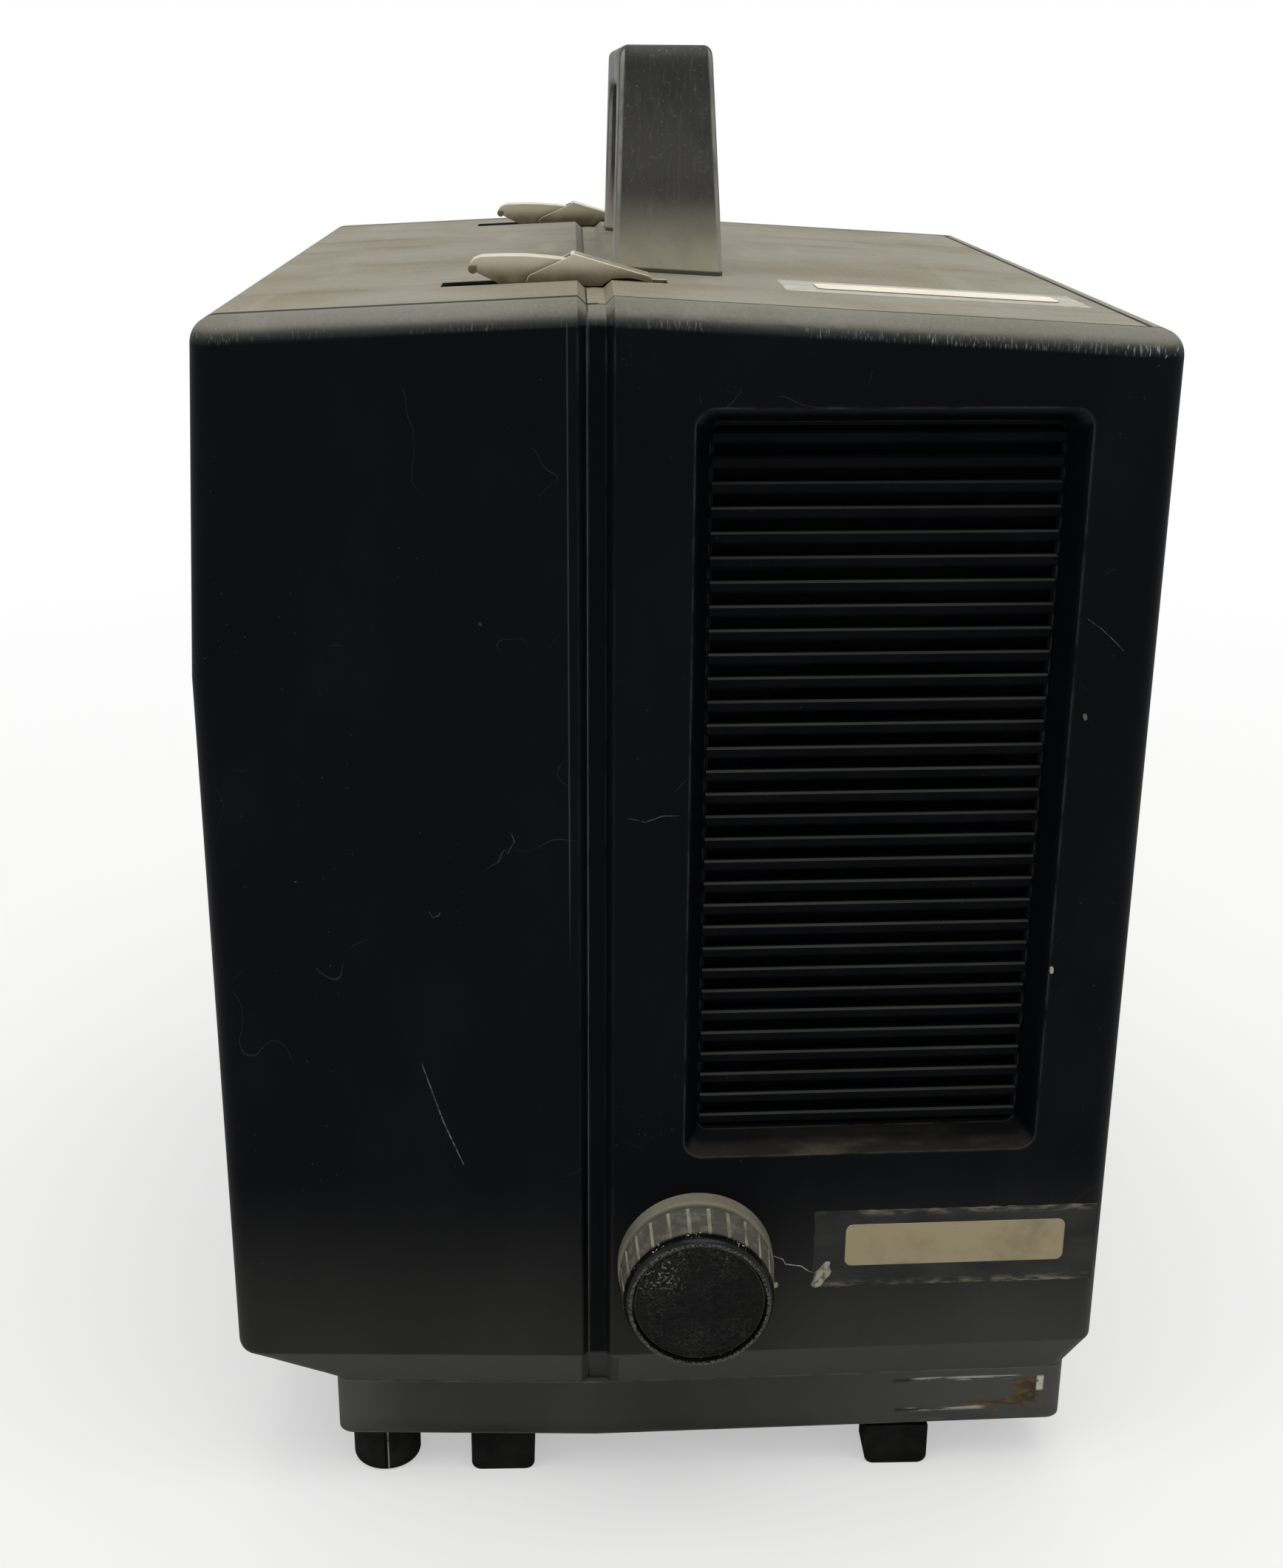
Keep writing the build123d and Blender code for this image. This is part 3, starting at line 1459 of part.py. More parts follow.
lens_ring = 14
lens_bevel = 4
rear_glass = 12
with BuildPart() as lens_barrel:
    turned_y(
        film_x,
        optical_height,
        [
            (0, lens_back - lens_bevel),
            (rear_glass, lens_back - lens_bevel),
            (rear_glass + 2, lens_back),
            (lens_radius, lens_back),
            (lens_radius, lens_front + lens_ring + lens_bevel),
            (lens_flange, lens_front + lens_ring),
            (lens_flange, lens_front + 1),
            (lens_flange - 1, lens_front),
            (lens_radius - 1, lens_front),
            (lens_radius - lens_bevel, lens_front + lens_ring / 2),
            (0, lens_front + lens_bevel),
        ],
    )
lens_barrel.part.label = "lens_barrel"
export_step(lens_barrel.part, "parts/lens_barrel.step")

# Lamp house with louvres, and the projection lamp in its reflector
house_wall = 2
house_overhang = 50
house_gap = 8
house_length = 90
house_above = 63
light_port = 16
louvre_count = 6
louvre_pitch = 12
louvre_length = 70
house_start = shutter_y + shutter_radius + house_gap
house_x = (film_x - house_overhang, plate_x)
house_y = (house_start, house_start + house_length)
house_z = (optical_height - house_below, optical_height + house_above)
with BuildPart() as lamp_house:
    block_between(house_x, house_y, house_z)
    block_between(
        (house_x[0] + house_wall, house_x[1] - house_wall),
        (house_y[0] + house_wall, house_y[1] - house_wall),
        (house_z[0] + house_wall, house_z[1] - house_wall),
        Mode.SUBTRACT,
    )
    bar_y(house_y[0], house_y[0] + house_wall, film_x, optical_height, light_port, Mode.SUBTRACT)
    with BuildSketch(Plane.XY.offset(house_z[1] - house_wall)):
        with Locations(((house_x[0] + house_x[1]) / 2, (house_y[0] + house_y[1]) / 2)):
            with GridLocations(1, louvre_pitch, 1, louvre_count):
                SlotOverall(louvre_length, vent_height)
    extrude(amount=house_wall, mode=Mode.SUBTRACT)
lamp_house.part.label = "lamp_house"
export_step(lamp_house.part, "parts/lamp_house.step")

lamp_back = house_y[1] - house_wall
socket_radius = 10
socket_length = 20
reflector_radius = 26
reflector_depth = 22
reflector_wall = 1.5
bulb_radius = 5
bulb_length = 18
reflector_base = lamp_back - socket_length - 4
with BuildPart() as projection_lamp:
    turned_y(
        film_x,
        optical_height,
        [
            (0, lamp_back),
            (socket_radius, lamp_back),
            (socket_radius, lamp_back - socket_length),
            (socket_radius + 4, reflector_base),
            (reflector_radius - 4, reflector_base - reflector_depth / 3),
            (reflector_radius, reflector_base - reflector_depth),
            (reflector_radius - reflector_wall, reflector_base - reflector_depth),
            (reflector_radius - 4 - reflector_wall, reflector_base - reflector_depth / 3),
            (socket_radius + 4 - reflector_wall, reflector_base - 1),
            (bulb_radius, reflector_base),
            (bulb_radius, reflector_base - bulb_length + 4),
            (bulb_radius - 2, reflector_base - bulb_length + 1),
            (0, reflector_base - bulb_length),
        ],
    )
projection_lamp.part.label = "projection_lamp"
export_step(projection_lamp.part, "parts/projection_lamp.step")

# Reel arms, folded against the plate, with their spindles
arm_length = 140
arm_thickness = 10
arm_radius = 12
arm_gap = 6
spindle_radius = 4
spindle_length = 66
spindle_collar = 3
supply_from_front = 58
supply_drop = 42
takeup_from_rear = 52
takeup_rise = 50
supply_start = (front_y + supply_from_front, ridge_height - supply_drop)
takeup_start = (rear_y - takeup_from_rear, plinth_top + takeup_rise)
arm_runs = [
    (supply_start, (supply_start[0] + arm_length, supply_start[1])),
    (takeup_start, (takeup_start[0], takeup_start[1] + arm_length)),
]
arm_x = plate_x - arm_gap - arm_thickness
with BuildPart() as reel_arms:
    for pivot, end in arm_runs:
        with BuildSketch(Plane.YZ.offset(arm_x)) as arm:
            for place in (pivot, end):
                with Locations(place):
                    Circle(arm_radius)
            make_hull(arm.edges())
        extrude(arm.sketch, amount=arm_thickness)
        bar_x(arm_x, plate_x, pivot[0], pivot[1], arm_radius)
        bar_x(arm_x - spindle_length, arm_x, end[0], end[1], spindle_radius)
        bar_x(arm_x - spindle_collar, arm_x, end[0], end[1], arm_radius - 2)
reel_arms.part.label = "reel_arms"
export_step(reel_arms.part, "parts/reel_arms.step")

# Operator's controls: panel, two round knobs, a rocker switch and the run lever
panel_depth = 30
panel_wall = 3
panel_ahead = 26
panel_length = 150
panel_x = (plate_x - panel_depth, plate_x)
panel_y = (shutter_y - panel_ahead, shutter_y - panel_ahead + panel_length)
panel_z = (plinth_top + panel_rise, panel_top)
control_z = (panel_z[0] + panel_z[1]) / 2
dial_from_end = 34
dial_spacing = 38
switch_from_end = 116
dial_places = {
    "volume_knob": panel_y[0] + dial_from_end,
    "tone_knob": panel_y[0] + dial_from_end + dial_spacing,
}
dial_radius = 12
dial_depth = 16
dial_taper = 1.5
dial_gap = 0.4
dial_shaft = 3
dial_shaft_length = 8
dial_mark = 0.6
switch_y = panel_y[0] + switch_from_end
switch_width = 14
switch_height = 24
switch_room = 0.5
switch_swing = 8
switch_pin = 1.5
switch_pin_depth = 10
switch_lug = 3
switch_lug_half_height = 6
switch_pin_x = panel_x[0] + switch_pin_depth
with BuildPart() as control_panel:
    block_between(panel_x, panel_y, panel_z)
    block_between(
        (panel_x[0] + panel_wall, panel_x[1]),
        (panel_y[0] + panel_wall, panel_y[1] - panel_wall),
        (panel_z[0] + panel_wall, panel_z[1] - panel_wall),
        Mode.SUBTRACT,
    )
    for y in dial_places.values():
        bar_x(panel_x[0], panel_x[0] + panel_wall, y, control_z, dial_shaft + running_fit, Mode.SUBTRACT)
    cutout_y = switch_width / 2 + switch_room
    cutout_z = switch_height / 2 + switch_room
    block_between(
        (panel_x[0], panel_x[0] + panel_wall),
        (switch_y - cutout_y, switch_y + cutout_y),
        (control_z - cutout_z, control_z + cutout_z),
        Mode.SUBTRACT,
    )
    for side in (-1, 1):
        middle = switch_y + side * (switch_width / 2 + switch_lug)
        lug_y = (middle - switch_lug / 2, middle + switch_lug / 2)
        lug_z = (control_z - switch_lug_half_height, control_z + switch_lug_half_height)
        block_between((panel_x[0] + panel_wall, switch_pin_x + switch_lug_half_height), lug_y, lug_z)
        bar_y(lug_y[0], lug_y[1], switch_pin_x, control_z, switch_pin + running_fit, Mode.SUBTRACT)
control_panel.part.label = "control_panel"
export_step(control_panel.part, "parts/control_panel.step")

dial_back = panel_x[0] - dial_gap
dial_front = dial_back - dial_depth
for name, y in dial_places.items():
    with BuildPart() as dial:
        turned_x(
            y,
            control_z,
            [
                (panel_x[0] + panel_wall + dial_shaft_length, 0),
                (panel_x[0] + panel_wall + dial_shaft_length, dial_shaft),
                (dial_back, dial_shaft),
                (dial_back, dial_radius),
                (dial_front + 1, dial_radius - dial_taper),
                (dial_front, dial_radius - dial_taper - 1),
                (dial_front, 0),
            ],
        )
        block_between(
            (dial_front, dial_front + 1),
            (y - dial_mark, y + dial_mark),
            (control_z + dial_radius / 4, control_z + dial_radius),
            Mode.SUBTRACT,
        )
    dial.part.label = name
    export_step(dial.part, f"parts/{name}.step")

rest_tilt = radians(switch_swing)
rocker_plane = Plane(
    origin=(switch_pin_x, switch_y + switch_width / 2, control_z),
    x_dir=(cos(rest_tilt), 0, sin(rest_tilt)),
    z_dir=(0, -1, 0),
)
rocker_back = 4
rocker_half = 9
rocker_dip = 2
rocker_face = -switch_pin_depth - rocker_dip
with BuildPart() as power_switch:
    pin_reach = switch_width / 2 + switch_lug
    bar_y(switch_y - pin_reach, switch_y + pin_reach, switch_pin_x, control_z, switch_pin)
    with BuildSketch(rocker_plane):
        with BuildLine():
            Polyline(
                (rocker_back, -rocker_back),
                (rocker_back, rocker_back),
                (-rocker_back, rocker_half),
                (rocker_face - rocker_dip, rocker_half + 0.5),
                (rocker_face, 0),
                (rocker_face - rocker_dip, -rocker_half - 0.5),
                (-rocker_back, -rocker_half),
                close=True,
            )
        make_face()
    extrude(amount=switch_width)
power_switch.part.label = "power_switch"
export_step(power_switch.part, "parts/power_switch.step")

lever_gap = 0.3
lever_reach = 30
lever_thickness = 6
lever_hub_radius = 9
lever_end_radius = 5
lever_grip_radius = 4
lever_grip_length = 14
lever_x = (plate_x - lever_hub_length, plate_x - lever_gap)
with BuildPart() as run_lever:
    with BuildSketch(Plane.YZ.offset(lever_x[0])) as handle_shape:
        with Locations((lever_y, lever_z)):
            Circle(lever_hub_radius)
        with Locations((lever_y - lever_reach, lever_z)):
            Circle(lever_end_radius)
        make_hull(handle_shape.edges())
    extrude(amount=lever_thickness)
    bar_x(lever_x[0], lever_x[1], lever_y, lever_z, lever_hub_radius)
    bar_x(lever_x[0], lever_x[1], lever_y, lever_z, lever_stud_radius + running_fit, Mode.SUBTRACT)
    bar_x(lever_x[0] - lever_grip_length, lever_x[0], lever_y - lever_reach, lever_z, lever_grip_radius)
run_lever.part.label = "run_lever"
export_step(run_lever.part, "parts/run_lever.step")

# Amplifier board on its posts, and the mains transformer
board_thickness = 1.6
sink_height = 26
sink_inset = 8
sink_thickness = 6
can_radius = 6
can_height = 22
with BuildPart() as amplifier_board:
    board_z = plinth_top + board_height
    block_between(board_x, board_y, (board_z, board_z + board_thickness))
    block_between(
        (board_x[0] + sink_inset, board_x[0] + sink_inset + sink_thickness),
        (board_y[0] + sink_inset, board_y[1] - sink_inset),
        (board_z, board_z + sink_height),
    )
    with BuildSketch(Plane.XY.offset(board_z)):
        with Locations(((board_x[0] + board_x[1]) / 2, (board_y[0] + board_y[1]) / 2)):
            with GridLocations(4 * can_radius, 4 * can_radius, 3, 2):
                Circle(can_radius)
    extrude(amount=can_height)
amplifier_board.part.label = "amplifier_board"
export_step(amplifier_board.part, "parts/amplifier_board.step")

transformer_from_seam = 90
transformer_from_front = 136
transformer_x = seam_x + transformer_from_seam
transformer_y = front_y + transformer_from_front
core_half_width = 30
core_half_depth = 14
core_height = 54
coil_half_width = 20
coil_half_depth = 27
strap_half_width = 38
strap_thickness = 4
transformer_blocks = [
    (core_half_width, core_half_depth, strap_thickness, core_height),
    (coil_half_width, coil_half_depth, 3 * strap_thickness, core_height - 2 * strap_thickness),
    (strap_half_width, core_half_depth, 0, strap_thickness),
]
with BuildPart() as power_transformer:
    for half_width, half_depth, low, high in transformer_blocks:
        block_between(
            (transformer_x - half_width, transformer_x + half_width),
            (transformer_y - half_depth, transformer_y + half_depth),
            (plinth_top + low, plinth_top + high),
        )
power_transformer.part.label = "power_transformer"
export_step(power_transformer.part, "parts/power_transformer.step")

# Blank paper labels on the front and the top
label_from_seam = 122.9
label_middle_height = 97.9
top_label_from_seam = 111.5
top_label_from_front = 79
with BuildPart() as blank_labels:
    with BuildSketch(front_plane):
        with Locations((label_from_seam, label_middle_height)):
            RectangleRounded(label_length, label_height, label_corner)
    extrude(amount=label_thickness)
    with BuildSketch(top_plane):
        with Locations((top_label_from_seam, front_y + top_label_from_front)):
            RectangleRounded(top_label_length, label_height, label_corner)
    extrude(amount=label_thickness)
blank_labels.part.label = "blank_labels"
export_step(blank_labels.part, "parts/blank_labels.step")
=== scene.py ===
import json
import math

import bmesh
import bpy
from mathutils import Matrix, Vector, noise


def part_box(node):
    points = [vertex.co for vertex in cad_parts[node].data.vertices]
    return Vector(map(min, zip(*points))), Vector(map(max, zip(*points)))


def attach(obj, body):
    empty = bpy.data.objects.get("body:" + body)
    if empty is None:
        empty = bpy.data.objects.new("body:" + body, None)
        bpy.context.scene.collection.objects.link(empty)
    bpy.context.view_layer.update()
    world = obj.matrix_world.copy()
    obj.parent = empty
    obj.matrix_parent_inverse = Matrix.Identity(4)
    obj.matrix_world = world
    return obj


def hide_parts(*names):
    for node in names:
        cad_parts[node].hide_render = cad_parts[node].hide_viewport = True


# Sound film projector in its closed carrying case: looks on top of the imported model.
# Metres, in the row frame: +Z up, front towards -Y, removable cover towards -X.

MM = 0.001
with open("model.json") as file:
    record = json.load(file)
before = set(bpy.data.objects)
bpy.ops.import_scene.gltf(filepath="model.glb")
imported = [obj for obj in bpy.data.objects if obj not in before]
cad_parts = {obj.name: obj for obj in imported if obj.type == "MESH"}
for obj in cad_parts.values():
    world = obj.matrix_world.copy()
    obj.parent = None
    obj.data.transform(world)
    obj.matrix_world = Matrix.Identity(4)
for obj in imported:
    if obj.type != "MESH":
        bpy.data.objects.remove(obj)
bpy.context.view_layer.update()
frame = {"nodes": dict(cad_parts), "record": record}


def srgb(red, green, blue):
    """Linear colour from display values of 0 to 255."""
    linear = []
    for value in (red, green, blue):
        share = value / 255
        linear.append(share / 12.92 if share <= 0.04045 else ((share + 0.055) / 1.055) ** 2.4)
    return (*linear, 1)


def add_node(tree, kind):
    """New shader node of a kind, such as Math."""
    return tree.nodes.new("ShaderNode" + kind)


def link_object(name, data):
    """New object in the scene."""
    thing = bpy.data.objects.new(name, data)
    bpy.context.scene.collection.objects.link(thing)
    return thing


# Camera at the photograph's place
CAMERA_PLACE = Vector((-32, -758, 475.5)) * MM
CAMERA_YAW = 0.0357
CAMERA_PITCH = -0.344
CAMERA_ROLL = 0.0077
CAMERA_LENS = 45.6


def make_camera():
    """Camera whose frame and height match the photograph's."""
    forward = Vector(
        (
            math.sin(CAMERA_YAW) * math.cos(CAMERA_PITCH),
            math.cos(CAMERA_YAW) * math.cos(CAMERA_PITCH),
            math.sin(CAMERA_PITCH),
        )
    )
    level = forward.cross(Vector((0, 0, 1))).normalized()
    upright = level.cross(forward)
    right = level * math.cos(CAMERA_ROLL) + upright * math.sin(CAMERA_ROLL)
    up = upright * math.cos(CAMERA_ROLL) - level * math.sin(CAMERA_ROLL)
    camera = link_object("camera", bpy.data.cameras.new("camera"))
    camera.data.lens = CAMERA_LENS
    camera.rotation_mode = "QUATERNION"
    camera.rotation_quaternion = Matrix((right, up, -forward)).transposed().to_quaternion()
    camera.location = CAMERA_PLACE
    bpy.context.scene.camera = camera


# Light and background. Each lamp has a place and a width in metres, and a power in watts.
OBJECT_MIDDLE = Vector((0, 0, 0.25))
LAMPS = {
    "top_light": ((0.2, -0.25, 1.9), 1.4, 12),
    "left_light": ((-1.6, -1.0, 1.1), 0.8, 3),
}
LIGHT_BY_HEIGHT = {"From Min": -0.1, "From Max": 1.0, "To Min": 0.45, "To Max": 1.0}
WHITE = (1, 1, 1, 1)


def make_lamps():
    """Square soft lamps that face the middle of the object."""
    for name, (place, size, power) in LAMPS.items():
        lamp = link_object(name, bpy.data.lights.new(name, "AREA"))
        lamp.data.size = size
        lamp.data.energy = power
        lamp.location = place
        lamp.rotation_mode = "QUATERNION"
        lamp.rotation_quaternion = (OBJECT_MIDDLE - lamp.location).to_track_quat("-Z", "Y")


def make_world():
    """Pale even light from all round, brighter from above, and a white background."""
    world = bpy.data.worlds.new("studio")
    bpy.context.scene.world = world
    world.use_nodes = True
    tree = world.node_tree
    tree.nodes.clear()
    out = add_node(tree, "OutputWorld")
    place = add_node(tree, "TexCoord")
    split = add_node(tree, "SeparateXYZ")
    height = add_node(tree, "MapRange")
    for name, number in LIGHT_BY_HEIGHT.items():
        height.inputs[name].default_value = number
    lit = add_node(tree, "Background")
    white = add_node(tree, "Background")
    for background in (lit, white):
        background.inputs["Color"].default_value = WHITE
    path = add_node(tree, "LightPath")
    seen = add_node(tree, "Math")
    shown = add_node(tree, "Math")
    for either in (seen, shown):
        either.operation = "MAXIMUM"
    mix = add_node(tree, "MixShader")
    links = (
        (place.outputs["Generated"], split.inputs[0]),
        (split.outputs["Z"], height.inputs["Value"]),
        (height.outputs[0], lit.inputs["Strength"]),
        (path.outputs["Is Camera Ray"], seen.inputs[0]),
        (path.outputs["Is Transmission Ray"], seen.inputs[1]),
        (seen.outputs[0], shown.inputs[0]),
        (path.outputs["Is Glossy Ray"], shown.inputs[1]),
        (shown.outputs[0], mix.inputs[0]),
        (lit.outputs[0], mix.inputs[1]),
        (white.outputs[0], mix.inputs[2]),
        (mix.outputs[0], out.inputs["Surface"]),
    )
    for source, target in links:
        tree.links.new(source, target)


NOISE_ROUGHNESS = 0.55
BEVEL_SAMPLES = 4
SHELTER_SAMPLES = 6


class Look:
    """One procedural material. Its methods add nodes and return sockets."""

    def __init__(self, name):
        self.material = bpy.data.materials.new(name)
        self.material.use_nodes = True
        self.tree = self.material.node_tree
        self.tree.nodes.clear()
        coordinates = self.add("TexCoord")
        self.place = coordinates.outputs["Object"]
        self.across, self.depth, self.height = self.parts(self.place)
        self.sideways, self.forward, self.upward = self.parts(coordinates.outputs["Normal"])
        self.out = self.add("OutputMaterial")
        self.tone = None

    def add(self, kind):
        """New node of a kind, such as Math."""
        return add_node(self.tree, kind)

    def join(self, value, socket):
        """Puts a number, a colour or another node's output on a socket."""
        if isinstance(value, bpy.types.NodeSocket):
            self.tree.links.new(value, socket)
        else:
            socket.default_value = value

    def math(self, operation, first, second=0.0):
        """Sum, difference or the like of two values."""
        node = self.add("Math")
        node.operation = operation
        self.join(first, node.inputs[0])
        self.join(second, node.inputs[1])
        return node.outputs[0]

    def all_of(self, *shares):
        """Product of several shares."""
        total = shares[0]
        for share in shares[1:]:
            total = self.math("MULTIPLY", total, share)
        return total

    def any_of(self, first, second):
        """Larger of two shares."""
        return self.math("MAXIMUM", first, second)

    def distance(self, value, middle):
        """How far a value is from a middle, either way."""
        return self.math("ABSOLUTE", self.math("SUBTRACT", value, middle))

    def parts(self, vector):
        """Three coordinates of a vector."""
        node = self.add("SeparateXYZ")
        self.join(vector, node.inputs[0])
        return node.outputs[:]

    def ramp(self, value, low, high, start=0.0, end=1.0):
        """Value eased from start at low to end at high."""
        node = self.add("MapRange")
        node.interpolation_type = "SMOOTHSTEP"
        self.join(value, node.inputs["Value"])
        for name, number in (("From Min", low), ("From Max", high), ("To Min", start), ("To Max", end)):
            self.join(number, node.inputs[name])
        return node.outputs[0]

    def mix(self, first, second, share):
        """Colour between two colours, which are on the node's colour sockets 6 and 7."""
        node = self.add("Mix")
        node.data_type = "RGBA"
        self.join(share, node.inputs[0])
        self.join(first, node.inputs[6])
        self.join(second, node.inputs[7])
        return node.outputs[2]

    def base(self, first, second, share):
        """Starts the surface's colour between two colours."""
        self.tone = self.mix(first, second, share)

    def lay(self, color, *shares):
        """Lays a colour over what is there, as far as the product of the shares says."""
        self.tone = self.mix(self.tone, color, self.all_of(*shares))

    def noise(self, size, detail, stretch=(1, 1, 1), shift=0.0):
        """Cloudy value whose spots are about size metres across, pulled out along each axis."""
        scaled = self.add("Mapping")
        self.join(self.place, scaled.inputs["Vector"])
        scaled.inputs["Scale"].default_value = [1 / (size * pull) for pull in stretch]
        scaled.inputs["Location"].default_value = (shift, shift, shift)
        node = self.add("TexNoise")
        node.inputs["Scale"].default_value = 1
        node.inputs["Detail"].default_value = detail
        node.inputs["Roughness"].default_value = NOISE_ROUGHNESS
        self.join(scaled.outputs[0], node.inputs["Vector"])
        return node.outputs[0]

    def scratches(self, spacing, width, angle, length, shift=0.0):
        """Thin broken lines at an angle on the front and on the sides."""
        turned = self.add("Mapping")
        self.join(self.place, turned.inputs["Vector"])
        turned.inputs["Rotation"].default_value = (angle, angle, angle / 2)
        warp = self.noise(0.05, 2, shift=shift + 3)
        line = self.parts(turned.outputs[0])[2]
        line = self.math("ADD", line, self.all_of(warp, spacing * 2.2))
        thin = self.ramp(self.math("PINGPONG", line, spacing), width, 0)
        broken = self.noise(length, 2, shift=shift)
        return self.all_of(thin, self.ramp(broken, 0.56, 0.66))

    def rounded(self, radius):
        """Normal with sharp edges rounded off."""
        node = self.add("Bevel")
        node.samples = BEVEL_SAMPLES
        node.inputs["Radius"].default_value = radius
        return node.outputs[0]

    def edge(self, radius, most=0.22):
        """Share near sharp edges, for wear, and on the nickel for a painted highlight."""
        dot = self.add("VectorMath")
        dot.operation = "DOT_PRODUCT"
        self.join(self.rounded(radius), dot.inputs[0])
        self.join(self.add("NewGeometry").outputs["Normal"], dot.inputs[1])
        return self.ramp(self.math("SUBTRACT", 1.0, dot.outputs["Value"]), 0.02, most)

    def hollow(self, reach):
        """Share of shelter in corners and grooves, for painted shade."""
        node = self.add("AmbientOcclusion")
        node.samples = SHELTER_SAMPLES
        node.inputs["Distance"].default_value = reach
        return self.ramp(node.outputs["AO"], 0.95, 0.45)

    def band(self, value, middle, half, soft):
        """One within half of a middle, fading out over soft metres."""
        return self.ramp(self.distance(value, middle), half + soft, half)

    def patch(self, along, up):
        """One on a rectangle seen from the front, from the band across and the band in height."""
        return self.all_of(self.band(self.height, *up), self.band(self.across, *along))

    def toward(self):
        """Share that faces the front."""
        return self.ramp(self.forward, -0.7, -0.9)

    def sunk(self):
        """Distance behind the case's front face."""
        aside = self.distance(self.across, SEAM)
        face = self.math("ADD", self.all_of(aside, PROW), FRONT)
        return self.math("SUBTRACT", self.depth, face)

    def bump(self, height, depth, strength, normal=None):
        """Surface normal from a height in 0 to 1 and its depth in metres."""
        node = self.add("Bump")
        node.inputs["Strength"].default_value = strength
        node.inputs["Distance"].default_value = depth
        self.join(height, node.inputs["Height"])
        if normal is not None:
            self.join(normal, node.inputs["Normal"])
        return node.outputs[0]

    def shader(self, roughness, normal=None, metallic=0.0, specular=0.5, clear=0.0):
        """Ends the material with one surface shader in the colour laid so far."""
        node = self.add("BsdfPrincipled")
        self.join(self.tone, node.inputs["Base Color"])
        self.join(roughness, node.inputs["Roughness"])
        node.inputs["Metallic"].default_value = metallic
        node.inputs["Specular IOR Level"].default_value = specular
        node.inputs["Transmission Weight"].default_value = clear
        if normal is not None:
            self.join(normal, node.inputs["Normal"])
        self.join(node.outputs[0], self.out.inputs["Surface"])
        return self.material


# Colours as they show on the object. A surface varies between two that share a line.
DUST = srgb(142, 138, 124)
DUST_WARM = srgb(126, 117, 97)
DUST_PALE = srgb(157, 153, 140)
SMUDGE = srgb(98, 90, 72)
SCUFF = srgb(92, 92, 87)
CASE = srgb(7, 8, 11), srgb(12, 13, 16)
CASE_LOW = srgb(43, 43, 41), srgb(58, 58, 56)
# Painted light from the floor on the skirt.
CASE_SKIRT_PAINTED_LIGHT = srgb(62, 63, 61)
# Painted shade in the groove and in the recess.
CASE_PAINTED_SHADE = srgb(3, 4, 6)
# Painted light on the underside of the brow.
CASE_BROW_PAINTED_LIGHT = srgb(30, 36, 39)
CASE_SCRIBE = srgb(50, 51, 48)
# Painted sky reflection on the top.
CASE_SKY_REFLECTION = srgb(90, 104, 124)
# Painted sheen and painted glints on the rounded top edge.
CASE_CREST_SHEEN = srgb(54, 56, 57)
CASE_PAINTED_GLINT = srgb(165, 167, 165)
CASE_JOINT = srgb(38, 36, 31)
SHEET = srgb(15, 16, 18), srgb(27, 28, 28)
SHEET_JOINT = srgb(26, 25, 22)
PLINTH = srgb(50, 50, 48), srgb(56, 56, 54)
PLINTH_ENDS = srgb(74, 74, 72)
PLINTH_STAIN = srgb(34, 33, 30)
PLINTH_SCRATCH = srgb(120, 119, 112)
PLINTH_WORN = srgb(118, 117, 108)
TORN_DARK = srgb(30, 29, 26)
TORN_BROWN = srgb(84, 70, 50), srgb(58, 50, 38)
TORN_WHITE = srgb(158, 157, 150)
TORN_PALE = srgb(176, 174, 166)
HANDLE = srgb(50, 50, 49), srgb(66, 66, 63)
HANDLE_DARK = srgb(40, 40, 40)
HANDLE_RUBBED = srgb(88, 87, 83)
HANDLE_FOOT = srgb(172, 165, 147)
HANDLE_SCRATCH = srgb(124, 122, 114)
HANDLE_SPECK = srgb(116, 115, 108)
HANDLE_WORN = srgb(128, 128, 122)
# Painted highlight on the handle's rounded edges.
HANDLE_EDGE_HIGHLIGHT = srgb(150, 150, 144)
# Painted shadow line at the handle's foot.
HANDLE_FOOT_SHADOW = srgb(46, 43, 37)
GRILLE = srgb(4, 5, 7), srgb(8, 9, 11)
# Dust and painted highlight on the slats' upper edges.
GRILLE_DUST_AND_HIGHLIGHT = srgb(56, 56, 53)
GRILLE_SPECK = srgb(60, 59, 55)
# Painted shade low on the latch, painted light on top.
NICKEL_LOW_SHADE = srgb(98, 88, 68), srgb(122, 113, 92)
NICKEL_SIDE = srgb(196, 189, 170)
NICKEL_TOP_LIGHT = srgb(206, 198, 176), srgb(188, 178, 152)
NICKEL_EDGE_HIGHLIGHT = srgb(228, 223, 206)
NICKEL_HOLLOW_SHADE = srgb(78, 68, 51)
NICKEL_ROLL = srgb(88, 72, 58)
PAPER = srgb(142, 130, 100), srgb(112, 99, 71)
PAPER_ABOVE_LIT = srgb(226, 215, 186), srgb(206, 193, 160)
PAPER_SPECK = srgb(92, 74, 48)
PAPER_RIM = srgb(92, 82, 58)
FILM = srgb(27, 28, 28), srgb(45, 45, 43)
FILM_ABOVE = srgb(158, 155, 142), srgb(142, 136, 118)
FILM_DIRT = srgb(112, 108, 90)
KNOB = srgb(8, 8, 8), srgb(15, 15, 14)
KNOB_FILM = srgb(88, 86, 78), srgb(118, 115, 104)
KNOB_GLINT = srgb(206, 204, 194)
KNOB_LIP = srgb(96, 96, 90)
FLUTE = srgb(48, 47, 42), srgb(160, 157, 140)
CAP = srgb(6, 6, 6), srgb(14, 14, 14)
